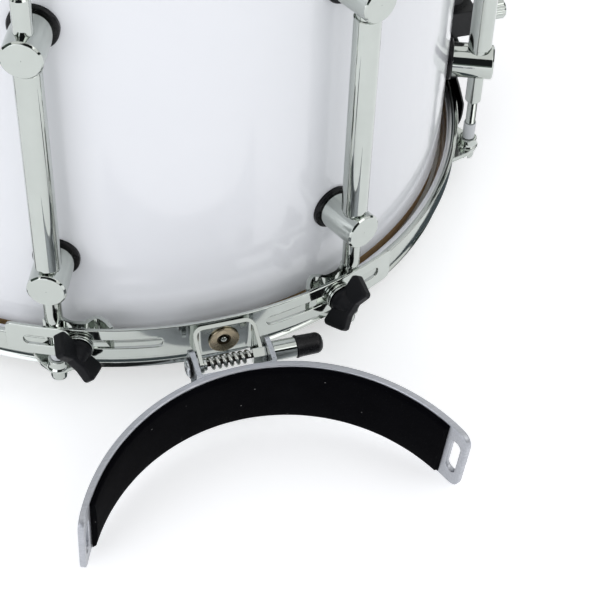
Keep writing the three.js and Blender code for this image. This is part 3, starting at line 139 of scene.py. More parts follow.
@dataclass
class Form:
    """A closed shape: its corners in millimetres and its faces."""

    points: list[Vector]
    faces: list[Face]

    def moved(self, x: float = 0.0, y: float = 0.0, z: float = 0.0) -> Form:
        """Returns the form shifted by the three lengths."""
        step = Vector((x, y, z))
        return Form([point + step for point in self.points], self.faces)

    def turned(self, axis: Axis, angle: float) -> Form:
        """Returns the form turned about an axis through the origin, by an angle in degrees."""
        turn = Matrix.Rotation(math.radians(angle), 3, axis.value)
        return Form([turn @ point for point in self.points], self.faces)

    def mapped(self, change: Callable[[Vector], Sequence[float]]) -> Form:
        """Returns the form with each corner where the given function puts it."""
        return Form([Vector(change(point)) for point in self.points], self.faces)

    def turned_over(self) -> Form:
        """Returns the form mirrored from the snare side of the drum to the batter side."""
        return self.mapped(lambda point: (point.x, point.y, HEAD_TO_HEAD - point.z))


def joined(*forms: Form) -> Form:
    """Returns one form that holds all the given forms."""
    points: list[Vector] = []
    faces: list[Face] = []
    for form in forms:
        first = len(points)
        points += form.points
        faces += [tuple(first + i for i in face) for face in form.faces]
    return Form(points, faces)


def eased(outline: Sequence[Flat], radius: float, steps: int = 3) -> list[Flat]:
    """Rounds the corners of a closed outline.

    Args:
        outline: the corners, in order.
        radius: radius of each rounding; it shrinks where two corners stand close.
        steps: straight lengths in each rounding.

    Returns:
        The rounded outline.
    """
    result: list[Flat] = []
    for i, corner in enumerate(outline):
        here = Vector(corner)
        back = Vector(outline[i - 1]) - here
        ahead = Vector(outline[(i + 1) % len(outline)]) - here
        angle = back.angle(ahead, math.pi)
        if angle > math.radians(172):
            result.append((here.x, here.y))
            continue
        reach = min(radius / math.tan(angle / 2), 0.48 * back.length, 0.48 * ahead.length)
        start = here + back.normalized() * reach
        end = here + ahead.normalized() * reach
        for k in range(steps + 1):
            t = k / steps
            point = (1 - t) ** 2 * start + 2 * t * (1 - t) * here + t * t * end
            result.append((point.x, point.y))
    return result


def arc(center: Flat, radius: float, start: float, end: float, steps: int = 12) -> list[Flat]:
    """Returns the points of an arc, from one angle in degrees to another."""
    angles = [math.radians(start + (end - start) * i / steps) for i in range(steps + 1)]
    return [(center[0] + radius * math.cos(a), center[1] + radius * math.sin(a)) for a in angles]


def flowing(points: Sequence[Flat], steps: int = 6) -> list[Flat]:
    """Returns a smooth open line through the given points."""
    line = [Vector(point) for point in points]
    line = [2 * line[0] - line[1], *line, 2 * line[-1] - line[-2]]
    result: list[Flat] = []
    for before, a, b, after in zip(line, line[1:], line[2:], line[3:]):
        for k in range(steps):
            t = k / steps
            place = 2 * a + (b - before) * t + (2 * before - 5 * a + 4 * b - after) * t * t
            place = (place + (3 * a - before - 3 * b + after) * t**3) / 2
            result.append((place.x, place.y))
    return [*result, (line[-2].x, line[-2].y)]


def ribbon(path: Sequence[Flat], thickness: float) -> list[Flat]:
    """Returns the outline of a sheet of one thickness that follows a path."""
    sides: tuple[list[Flat], list[Flat]] = ([], [])
    for i, (x, y) in enumerate(path):
        x0, y0 = path[max(i - 1, 0)]
        x1, y1 = path[min(i + 1, len(path) - 1)]
        half = thickness / 2 / math.hypot(x1 - x0, y1 - y0)
        for hand, side in zip((1, -1), sides):
            side.append((x + hand * (y1 - y0) * half, y - hand * (x1 - x0) * half))
    return sides[0] + sides[1][::-1]


def lathe(profile: Sequence[Flat], steps: int = 96, start: float = 0.0, sweep: float = 360.0) -> Form:
    """Turns a closed profile about Z.

    Args:
        profile: points of radius and height.
        steps: flat sides in the sweep.
        start: angle from the front where the sweep starts, in degrees.
        sweep: degrees to turn through; less than 360 leaves two closed ends.

    Returns:
        The turned form.
    """
    whole = sweep >= 360
    count = len(profile)
    points: list[Vector] = []
    for i in range(steps if whole else steps + 1):
        angle = math.radians(start + sweep * i / steps)
        points += [Vector((r * math.sin(angle), -r * math.cos(angle), z)) for r, z in profile]
    faces: list[Face] = []
    for i in range(steps):
        near = i * count
        far = (i + 1) * count % len(points)
        faces += [(near + k, far + k, far + (k + 1) % count, near + (k + 1) % count) for k in range(count)]
    if not whole:
        faces += [tuple(range(count)), tuple(steps * count + k for k in reversed(range(count)))]
    return Form(points, faces)


def spindle(profile: Sequence[Flat], steps: int = 32, ease: float = 0.0) -> Form:
    """Turns a solid about Z from points of radius and height, with its corners eased."""
    low, high = profile[0][1], profile[-1][1]
    outline = [(0.0, low), *profile, (0.0, high)]
    return lathe(eased(outline, ease) if ease else outline, steps)


def bar(radius: float, low: float, high: float, steps: int = 24, ease: float = 0.0) -> Form:
    """Returns a round bar about Z from one height to another."""
    return spindle([(radius, low), (radius, high)], steps, ease)


def walled(bore: float, radius: float, low: float, high: float) -> list[Flat]:
    """Returns the profile of a ring between two radii and two heights."""
    return [(bore, low), (radius, low), (radius, high), (bore, high)]


def outward(form: Form, height: float = 0.0) -> Form:
    """Lays a form that was turned about Z along the way out at the drum's front, at a height."""
    return form.turned(Axis.X, 90).moved(z=height)


def crosswise(form: Form) -> Form:
    """Lays a form that was turned about Z along X."""
    return form.turned(Axis.Y, 90)


def around(form: Form, angle: float) -> Form:
    """Takes a form from the drum's front round to an angle."""
    return form.turned(Axis.Z, angle)


def prism(outline: Sequence[Flat], levels: Sequence[float]) -> Form:
    """Returns an outline in plan raised through the given heights."""
    count = len(outline)
    points = [Vector((x, y, z)) for z in levels for x, y in outline]
    faces: list[Face] = [tuple(reversed(range(count)))]
    for i in range(len(levels) - 1):
        low, high = i * count, (i + 1) * count
        faces += [(low + k, low + (k + 1) % count, high + (k + 1) % count, high + k) for k in range(count)]
    faces.append(tuple((len(levels) - 1) * count + k for k in range(count)))
    return Form(points, faces)


def side_prism(outline: Sequence[Flat], places: Sequence[float]) -> Form:
    """Returns an outline of distance out and height, drawn across the drum's front."""
    return prism(outline, places).mapped(lambda p: (p.z, -p.x, p.y))


def brick(low: Sequence[float], high: Sequence[float]) -> Form:
    """Returns a cutting block between two corners."""
    outline = [(low[0], low[1]), (high[0], low[1]), (high[0], high[1]), (low[0], high[1])]
    return prism(outline, [low[2], high[2]])


def wire(path: Sequence[Vector], radius: float, sides: int = 8) -> Form:
    """Returns a round wire of one radius along a line of points."""
    points: list[Vector] = []
    side = Vector((0.02, 0.01, 1))
    for i, place in enumerate(path):
        along = (path[min(i + 1, len(path) - 1)] - path[max(i - 1, 0)]).normalized()
        side = (side - along * side.dot(along)).normalized()
        other = along.cross(side)
        for k in range(sides):
            angle = 2 * math.pi * k / sides
            points.append(place + (side * math.cos(angle) + other * math.sin(angle)) * radius)
    rings = Form(points, [tuple(reversed(range(sides)))])
    for i in range(len(path) - 1):
        low, high = i * sides, (i + 1) * sides
        for k in range(sides):
            ahead = (k + 1) % sides
            rings.faces.append((low + k, low + ahead, high + ahead, high + k))
    rings.faces.append(tuple((len(path) - 1) * sides + k for k in range(sides)))
    return rings


def threaded(radius: float, low: float, high: float) -> Form:
    """Returns a threaded stem about Z, its thread drawn as rings."""
    pitch, depth = 0.9, 0.42
    count = round((high - low) / pitch)
    step = (high - low) / count
    crests = [(radius - (depth if k % 2 else 0.0), low + step * k / 2) for k in range(2 * count + 1)]
    return spindle(crests, 20)


# Mesh work on forms

SEAM = 0.0005  # corners closer than this are one corner


def linked(name: str, data: bpy.types.ID) -> Thing:
    """Returns a new object with the given data, linked to the scene."""
    thing = bpy.data.objects.new(name, data)
    bpy.context.scene.collection.objects.link(thing)
    return thing
def mesh_of(form: Form) -> bpy.types.Mesh:
    """Returns a mesh of a form, in millimetres, with its seams closed and its faces looking out."""
    mesh = bpy.data.meshes.new("work")
    mesh.from_pydata([tuple(point) for point in form.points], [], form.faces)
    work = bmesh.new()
    work.from_mesh(mesh)
    bmesh.ops.remove_doubles(work, verts=work.verts, dist=SEAM)
    bmesh.ops.dissolve_degenerate(work, edges=work.edges, dist=SEAM)
    bmesh.ops.recalc_face_normals(work, faces=work.faces)
    work.to_mesh(mesh)
    work.free()
    return mesh


def form_of(work: Work) -> Form:
    """Returns the form of a mesh at work, and frees the mesh."""
    work.verts.index_update()
    faces = [tuple(vert.index for vert in face.verts) for face in work.faces]
    form = Form([vert.co.copy() for vert in work.verts], faces)
    work.free()
    return form


def at_work(form: Form) -> Work:
    """Returns a form as a mesh to work on."""
    mesh = mesh_of(form)
    work = bmesh.new()
    work.from_mesh(mesh)
    bpy.data.meshes.remove(mesh)
    return work


def sharp_edges(work: Work, angle: float) -> list[bmesh.types.BMEdge]:
    """Returns the edges where two faces meet at more than an angle in degrees."""
    limit = math.radians(angle)
    return [edge for edge in work.edges if edge.is_manifold and edge.calc_face_angle(0.0) > limit]


def softened(form: Form, width: float, steps: int = 2, angle: float = 28.0) -> Form:
    """Rounds a form's sharp edges.

    Args:
        form: the form.
        width: how far the rounding reaches from an edge.
        steps: straight lengths in the rounding.
        angle: edges sharper than this many degrees are rounded.

    Returns:
        The rounded form.
    """
    work = at_work(form)
    bmesh.ops.bevel(
        work, geom=sharp_edges(work, angle), offset=width, offset_type="OFFSET", segments=steps,
        profile=0.5, affect="EDGES", clamp_overlap=True,
    )
    return form_of(work)


def evaluated(thing: Thing) -> Form:
    """Returns an object's form as its modifiers or its bevel leave it, and removes the object."""
    mesh = bpy.data.meshes.new_from_object(thing.evaluated_get(bpy.context.evaluated_depsgraph_get()))
    faces = [tuple(face.vertices) for face in mesh.polygons]
    form = Form([vert.co.copy() for vert in mesh.vertices], faces)
    bpy.data.objects.remove(thing)
    bpy.data.meshes.remove(mesh)
    return form


def shaped(form: Form, *tools: Form, keep: Cut = Cut.OUTSIDE) -> Form:
    """Returns what is left of a form after tools cut it, one after the other."""
    work = linked("work", mesh_of(form))
    cutters = [linked("cutter", mesh_of(tool)) for tool in tools]
    for cutter in cutters:
        modifier = work.modifiers.new("cut", "BOOLEAN")
        modifier.operation = keep.value
        modifier.solver = "EXACT"
        modifier.object = cutter
    result = evaluated(work)
    for cutter in cutters:
        bpy.data.objects.remove(cutter)
    return result


def flat_sheet(outlines: Sequence[Sequence[Flat]], thickness: float, rounding: float) -> Form:
    """Returns a flat sheet with holes and rounded edges.

    Args:
        outlines: the sheet's outline, then the outline of each hole.
        thickness: the sheet's thickness, half of it on each side of Z 0.
        rounding: radius of its edges.

    Returns:
        The sheet, in the plane of X and Y.
    """
    curve = bpy.data.curves.new("sheet", "CURVE")
    curve.dimensions = "2D"
    curve.fill_mode = "BOTH"
    curve.extrude = thickness / 2 - rounding
    curve.bevel_depth = rounding
    curve.bevel_resolution = 2
    curve.offset = -rounding
    for outline in outlines:
        spline = curve.splines.new("POLY")
        spline.points.add(len(outline) - 1)
        for point, (x, y) in zip(spline.points, outline):
            point.co = (x, y, 0, 1)
        spline.use_cyclic_u = True
    result = evaluated(linked("sheet", curve))
    bpy.data.curves.remove(curve)
    return result


def bent(form: Form, radius: float, count: int) -> Form:
    """Bends a flat sheet about an upright axis.

    Args:
        form: the sheet, along X, with its width along Y and its face up.
        radius: distance from the axis to the sheet's middle.
        count: strips that the sheet is bent in.

    Returns:
        The bent sheet, round the front of the axis, with its width along Z.
    """
    work = at_work(form)
    reach = max(abs(vert.co.x) for vert in work.verts)
    for i in range(1, count):
        place = reach * (2 * i / count - 1)
        everything = [*work.verts, *work.edges, *work.faces]
        bmesh.ops.bisect_plane(work, geom=everything, dist=0.001, plane_co=(place, 0, 0), plane_no=(1, 0, 0))
    for vert in work.verts:
        angle = vert.co.x / radius
        out = radius + vert.co.z
        vert.co = Vector((out * math.sin(angle), -out * math.cos(angle), vert.co.y))
    bmesh.ops.dissolve_limit(work, angle_limit=0.004, verts=work.verts, edges=work.edges)
    return form_of(work)


# Finishes


def linear(color: str) -> tuple[float, float, float, float]:
    """Returns an sRGB hex colour as the linear colour that a shader takes."""
    parts = [int(color[i : i + 2], 16) / 255 for i in (1, 3, 5)]
    r, g, b = (c / 12.92 if c <= 0.04045 else ((c + 0.055) / 1.055) ** 2.4 for c in parts)
    return (r, g, b, 1.0)


def per_metre(size: float) -> float:
    """Returns the scale of a pattern whose features are as wide as a size in millimetres."""
    return 1000 / size


def add_node(tree: Tree, kind: str, values: Settings, links: Settings, **settings: object) -> Node:
    """Adds a node with its settings and links.

    Args:
        tree: the tree that takes it.
        kind: the node's type, without its common beginning.
        values: its inputs, by name or number, and their values.
        links: its inputs, by name or number, and the sockets that feed them.
        settings: the node's own properties.

    Returns:
        The new node.
    """
    node = tree.nodes.new("ShaderNode" + kind)
    for name, value in settings.items():
        setattr(node, name, value)
    for socket, value in values.items():
        node.inputs[socket].default_value = value
    for socket, source in links.items():
        tree.links.new(source, node.inputs[socket])
    return node


def calculated(tree: Tree, operation: str, *sides: Socket | float) -> Socket:
    """Returns what a calculation makes of sockets and plain numbers."""
    values = {i: side for i, side in enumerate(sides) if isinstance(side, float)}
    links = {i: side for i, side in enumerate(sides) if not isinstance(side, float)}
    return add_node(tree, "Math", values, links, operation=operation).outputs[0]


def ranged(
    tree: Tree, value: Socket, low: float, high: float, first: float = 0.0, last: float = 1.0
) -> Socket:
    """Returns a value with its range from low to high stretched to one from first to last."""
    ends = {"From Min": low, "From Max": high, "To Min": first, "To Max": last}
    return add_node(tree, "MapRange", ends, {"Value": value}).outputs["Result"]


def mixed(tree: Tree, share: Socket, first: Socket | str, second: str) -> Socket:
    """Returns a mix of two hex colours by a share; a socket can give the first one."""
    values: Settings = {7: linear(second)}
    links: Settings = {0: share}
    if isinstance(first, str):
        values[6] = linear(first)
    else:
        links[6] = first
    return add_node(tree, "Mix", values, links, data_type="RGBA").outputs[2]


def clouds(tree: Tree, place: Socket, size: float, detail: float) -> Socket:
    """Returns noise whose features are as wide as a size in millimetres."""
    values = {"Scale": per_metre(size), "Detail": detail}
    return add_node(tree, "TexNoise", values, {"Vector": place}).outputs[0]


def streaks(tree: Tree, place: Socket, length: float, width: float, detail: float) -> Socket:
    """Returns noise in streaks along the first axis, as long and wide as sizes in millimetres."""
    stretch = (per_metre(length), per_metre(width), per_metre(width))
    scaled = add_node(tree, "VectorMath", {1: stretch}, {0: place}, operation="MULTIPLY").outputs[0]
    return add_node(tree, "TexNoise", {"Scale": 1.0, "Detail": detail}, {"Vector": scaled}).outputs[0]


@dataclass(frozen=True)
class Finish:
    """A material, named for the real one, with the values that its shader takes."""

    name: str
    color: str
    shade: str  # colour of the pattern's other places
    roughness: float
    metallic: float = 0.0
    ior: float = 1.5
    specular: float = 0.5
    coat: float = 0.0
    coat_roughness: float = 0.03
    sheen: float = 0.0
    sheen_roughness: float = 0.5

    def material(self) -> bpy.types.Material:
        """Returns the material, made the first time that it is asked for."""
        made = bpy.data.materials.get(self.name)
        if made:
            return made
        made = bpy.data.materials.new(self.name)
        made.use_nodes = True
        tree = made.node_tree
        shader = tree.nodes["Principled BSDF"]
        settings = {
            "Base Color": linear(self.color), "Roughness": self.roughness, "Metallic": self.metallic,
            "IOR": self.ior, "Specular IOR Level": self.specular, "Coat Weight": self.coat,
            "Coat Roughness": self.coat_roughness, "Sheen Weight": self.sheen,
            "Sheen Roughness": self.sheen_roughness,
        }
        for name, value in settings.items():
            shader.inputs[name].default_value = value
        self.draw(tree, shader, add_node(tree, "TexCoord", {}, {}).outputs["Object"])
        return made

    def draw(self, tree: Tree, shader: Node, place: Socket) -> None:
        """Draws the surface's own pattern, from places in metres."""

    def tint(self, tree: Tree, shader: Node, share: Socket) -> None:
        """Mixes the two colours by a share and feeds the shader with them."""
        tree.links.new(mixed(tree, share, self.color, self.shade), shader.inputs["Base Color"])

    def gloss(self, tree: Tree, shader: Node, share: Socket, spread: float) -> None:
        """Lets the roughness wander about its value by a share of it."""
        low, high = self.roughness * (1 - spread), self.roughness * (1 + spread)
        tree.links.new(ranged(tree, share, 0.3, 0.7, low, high), shader.inputs["Roughness"])

    def relief(self, tree: Tree, shader: Node, height: Socket, strength: float, depth: float) -> None:
        """Raises the surface by a height, at most as deep as the given millimetres."""
        values = {"Strength": strength, "Distance": depth * MM}
        bump = add_node(tree, "Bump", values, {"Height": height})
        tree.links.new(bump.outputs["Normal"], shader.inputs["Normal"])


@dataclass(frozen=True)
class Plated(Finish):
    """A plated metal: cloudy gloss and a skin that isn't quite even."""

    cloud: float = 16.0  # width of a cloud in the gloss
    spread: float = 0.4  # how far the clouds change the roughness, as a share of it
    ripple: float = 2.5  # width of an unevenness
    depth: float = 0.01
    strength: float = 0.35

    def draw(self, tree: Tree, shader: Node, place: Socket) -> None:
        """Clouds the gloss and the colour, and ripples the skin."""
        cloud = clouds(tree, place, self.cloud, 3.0)
        self.gloss(tree, shader, cloud, self.spread)
        self.tint(tree, shader, cloud)
        self.relief(tree, shader, clouds(tree, place, self.ripple, 1.0), self.strength, self.depth)


@dataclass(frozen=True)
class Brushed(Finish):
    """A metal with fine lines along one direction, as drawing or brushing leaves them."""

    line: float = 0.5  # width of a line, wider than a real one so that it shows
    length: float = 30.0
    lines_round: bool = False  # lines run round the drum's axis, else along X
    spread: float = 0.25
    depth: float = 0.01
    strength: float = 0.3

    def draw(self, tree: Tree, shader: Node, place: Socket) -> None:
        """Draws the lines in colour, gloss and relief."""
        along = round_places(tree, place) if self.lines_round else place
        lines = streaks(tree, along, self.length, self.line, 2.0)
        self.gloss(tree, shader, lines, self.spread)
        self.tint(tree, shader, lines)
        self.relief(tree, shader, lines, self.strength, self.depth)


@dataclass(frozen=True)
class Moulded(Finish):
    """A plastic, rubber or powder coat: an even colour with a fine grain on its skin."""

    grain: float = 0.6  # width of a grain, wider than a real one so that it shows
    spread: float = 0.3
    depth: float = 0.03
    strength: float = 0.4
    flow: float = 12.0  # width of a paler or darker place

    def draw(self, tree: Tree, shader: Node, place: Socket) -> None:
        """Draws the grain and the places where the material flowed."""
        grain = clouds(tree, place, self.grain, 2.0)
        self.tint(tree, shader, clouds(tree, place, self.flow, 3.0))
        self.gloss(tree, shader, grain, self.spread)
        self.relief(tree, shader, grain, self.strength, self.depth)


@dataclass(frozen=True)
class Wood(Finish):
    """Veneer plies whose grain runs round the drum."""

    fibre: float = 0.8  # width of a fibre
    length: float = 30.0
    figure: float = 14.0  # width of a darker place in the grain
    figure_length: float = 120.0
    depth: float = 0.04
    strength: float = 0.5

    def draw(self, tree: Tree, shader: Node, place: Socket) -> None:
        """Draws fibres and figure along the grain."""
        along = round_places(tree, place)
        fibres = streaks(tree, along, self.length, self.fibre, 4.0)
        figure = streaks(tree, along, self.figure_length, self.figure, 2.0)
        self.tint(tree, shader, ranged(tree, calculated(tree, "MULTIPLY", fibres, figure), 0.12, 0.42))
        self.relief(tree, shader, fibres, self.strength, self.depth)


@dataclass(frozen=True)
class Pile(Finish):
    """A short velour pile, with a few specks of lint on it."""

    tuft: float = 0.7  # width of a tuft, wider than a real one so that it shows
    depth: float = 0.25
    strength: float = 0.8
    stroke: float = 16.0  # width of a place that is brushed one way
    lint: str = "#8A8A88"
    lint_spacing: float = 9.0
    lint_edge: float = 0.045  # where a speck fades out, as a share of the spacing
    lint_core: float = 0.02

    def draw(self, tree: Tree, shader: Node, place: Socket) -> None:
        """Draws the tufts, the brushed places and the lint."""
        base = mixed(tree, clouds(tree, place, self.stroke, 2.0), self.color, self.shade)
        values = {"Scale": per_metre(self.lint_spacing), "Randomness": 1.0}
        cells = add_node(tree, "TexVoronoi", values, {"Vector": place})
        near = ranged(tree, cells.outputs["Distance"], self.lint_edge, self.lint_core)
        tree.links.new(mixed(tree, near, base, self.lint), shader.inputs["Base Color"])
        self.relief(tree, shader, clouds(tree, place, self.tuft, 3.0), self.strength, self.depth)


def round_places(tree: Tree, place: Socket) -> Socket:
    """Returns places as length round the drum, radius and height."""
    x, y, z = add_node(tree, "SeparateXYZ", {}, {0: place}).outputs
    length = calculated(tree, "MULTIPLY", calculated(tree, "ARCTAN2", x, y), SHELL_RADIUS * MM)
    squares = [calculated(tree, "MULTIPLY", side, side) for side in (x, y)]
    radius = calculated(tree, "SQRT", calculated(tree, "ADD", *squares))
    return add_node(tree, "CombineXYZ", {}, {0: length, 1: radius, 2: z}).outputs[0]


# Nickel and chrome on brass or steel, buffed before plating: a clear mirror with a faint haze.
CHROME = Plated("chrome_plate", "#C2C7C2", "#B6BBB6", 0.05, 1.0)
# Chrome on bent steel sheet, with the faint waves of pressing under it.
PRESSED_CHROME = Plated(
    "chrome_plate_pressed", "#C4C9C4", "#B8BDB8", 0.08, 1.0, cloud=22.0, ripple=9.0, depth=0.03
)
# Chrome on spring wire and pins, which keeps the drawn wire's dull bloom.
WIRE_STEEL = Plated("spring_steel_plated", "#C8CAC5", "#A9ABA6", 0.13, 1.0, cloud=3.0, ripple=0.8, depth=0.02)
# Zinc on pressed steel: softer and greyer than chrome, with a fine crystal bloom.
ZINC = Plated("zinc_plated_steel", "#C2C5C8", "#A9ADB1", 0.27, 1.0, cloud=5.0, ripple=1.2, depth=0.02)
# Nickel on a brass rivet: the thin plate lets a little of the brass's warmth through.
WARM_NICKEL = Plated(
    "nickel_plated_brass", "#BFB299", "#9C8F76", 0.26, 1.0, cloud=4.0, ripple=1.5, depth=0.02
)
# Painted shade: a dark, dull brass colour on the rivet's hollow wall, standing in for the shadow deep in its
# gap.
RIVET_HOLLOW_SHADE = Plated("rivet_hollow_painted_shade", "#4A4030", "#2B251B", 0.5, 1.0, cloud=2.0, ripple=0.8, depth=0.02)
# Steel rod with a film of old oil on it: dark grey, hardly glossy.
OILED_STEEL = Plated("oiled_steel", "#4C4A47", "#33312E", 0.38, 1.0, cloud=3.0, ripple=0.8, depth=0.02)
# Acrylic sheet wrapped on the shell: white with a cool cast, glossy, with a trace of orange peel.
WHITE_WRAP = Moulded(
    "white_acrylic_wrap", "#F1F2F4", "#ECEDF0", 0.14, ior=1.49, coat=0.3, grain=5.0, depth=0.015, flow=60.0
)
# Maple plies, sanded and sealed: satin, with fine fibres round the shell.
MAPLE = Wood("maple_ply", "#BC9A6A", "#96764C", 0.5, ior=1.5)
# Polyester film with a sprayed coating: translucent white, slightly rough.
COATED_FILM = Moulded(
    "coated_drumhead_film", "#EDEDE8", "#E4E4DE", 0.42, ior=1.57, grain=1.4, depth=0.03, flow=30.0
)
# Extruded aluminium rolled into a hoop, with the die's lines round it.
FLESH_ALUMINIUM = Brushed(
    "extruded_aluminium", "#ECEDEF", "#DADCDF", 0.36, 1.0, line=0.7, length=60.0, lines_round=True
)
# Powder coat on a zinc casting: black, half glossy, with a fine pebble.
POWDER_COAT = Moulded("black_powder_coat", "#0F1012", "#151619", 0.38, specular=0.3, grain=0.9)
# Polyester sheet, black right through: a plain gloss with slow waves.
STRAP_SHEET = Moulded(
    "black_polyester_sheet", "#0D0E11", "#131417", 0.18, ior=1.57, specular=0.4, grain=7.0, depth=0.03
)
# Glass-filled nylon: matte black, slightly paler along the flow of the moulding.
NYLON = Moulded(
    "black_moulded_nylon", "#0D0E11", "#131417", 0.46, ior=1.53, specular=0.14, grain=0.7, depth=0.04
)
# Natural nylon spacers: pale grey and waxy.
PALE_NYLON = Moulded("pale_grey_nylon", "#D2D4D5", "#C6C9CB", 0.36, ior=1.53, grain=0.9)
# Moulded rubber: black, soft and dull.
RUBBER = Moulded("black_rubber", "#0A0A0C", "#0F0F12", 0.32, ior=1.52, specular=0.22, grain=0.8, depth=0.02)
# Rolled aluminium under clear lacquer: a satin silver with faint rolling lines along it.
SILVER_ALUMINIUM = Brushed(
    "lacquered_aluminium", "#BBBDC3", "#A4A7AC", 0.4, 1.0, coat=0.1, coat_roughness=0.2, line=0.9, length=40.0
)
# Velour glued on foam: black pile that goes a little grey at glancing angles.
VELOUR = Pile(
    "black_velour", "#020204", "#08080B", 0.95, ior=1.45, specular=0.03, sheen=0.018, sheen_roughness=0.4
)
# The finishes that several pieces share, each with the record's slot for it.
BRIGHT = (CHROME, Slot.CHROME)
PRESSED = (PRESSED_CHROME, Slot.CHROME)
CAST = (POWDER_COAT, Slot.BLACK_METAL)
SHEET = (STRAP_SHEET, Slot.BLACK_STRAP)


@dataclass
class Piece:
    """One piece of the drum: its shapes and their finishes, its body, and the solids that it stands for."""

    name: str
    parts: list[tuple[Form, Finish]]
    slot: Slot
    nodes: list[str]
    body: Body = Body.DRUM
    crease: float = 36.0  # edges sharper than this many degrees stay sharp
    declare: Callable[[Thing], None] | None = None

    @classmethod
    def plain(
        cls, name: str, form: Form, finish: Finish, slot: Slot, node: str, body: Body = Body.DRUM
    ) -> Piece:
        """Returns a piece of one form in one finish, which stands for one solid."""
        return cls(name, [(form, finish)], slot, [node], body)

    def make(self) -> Thing:
        """Builds the piece in metres, places it in the drum's frame and dresses it.

        Returns:
            The object.
        """
        mesh = bpy.data.meshes.new(self.name)
        whole = bmesh.new()
        for index, (form, finish) in enumerate(self.parts):
            mesh.materials.append(finish.material())
            part = mesh_of(form)
            first = len(whole.faces)
            whole.from_mesh(part)
            whole.faces.ensure_lookup_table()
            for face in whole.faces[first:]:
                face.material_index = index
                face.smooth = True
            bpy.data.meshes.remove(part)
        for edge in sharp_edges(whole, self.crease):
            edge.smooth = False
        bmesh.ops.translate(whole, vec=(0, 0, -HEAD_TO_HEAD), verts=whole.verts)
        bmesh.ops.scale(whole, vec=(MM, MM, MM), verts=whole.verts)
        whole.to_mesh(mesh)
        whole.free()
        thing = linked(self.name, mesh)
        normals = thing.modifiers.new("normals", "WEIGHTED_NORMAL")
        normals.keep_sharp = True
        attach(thing, self.body.value)
        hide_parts(*self.nodes)
        if self.declare:
            self.declare(thing)
        log.info("%s: %d faces, rides on %s", self.name, len(mesh.polygons), self.body.value)
        return thing


# Sub-assemblies


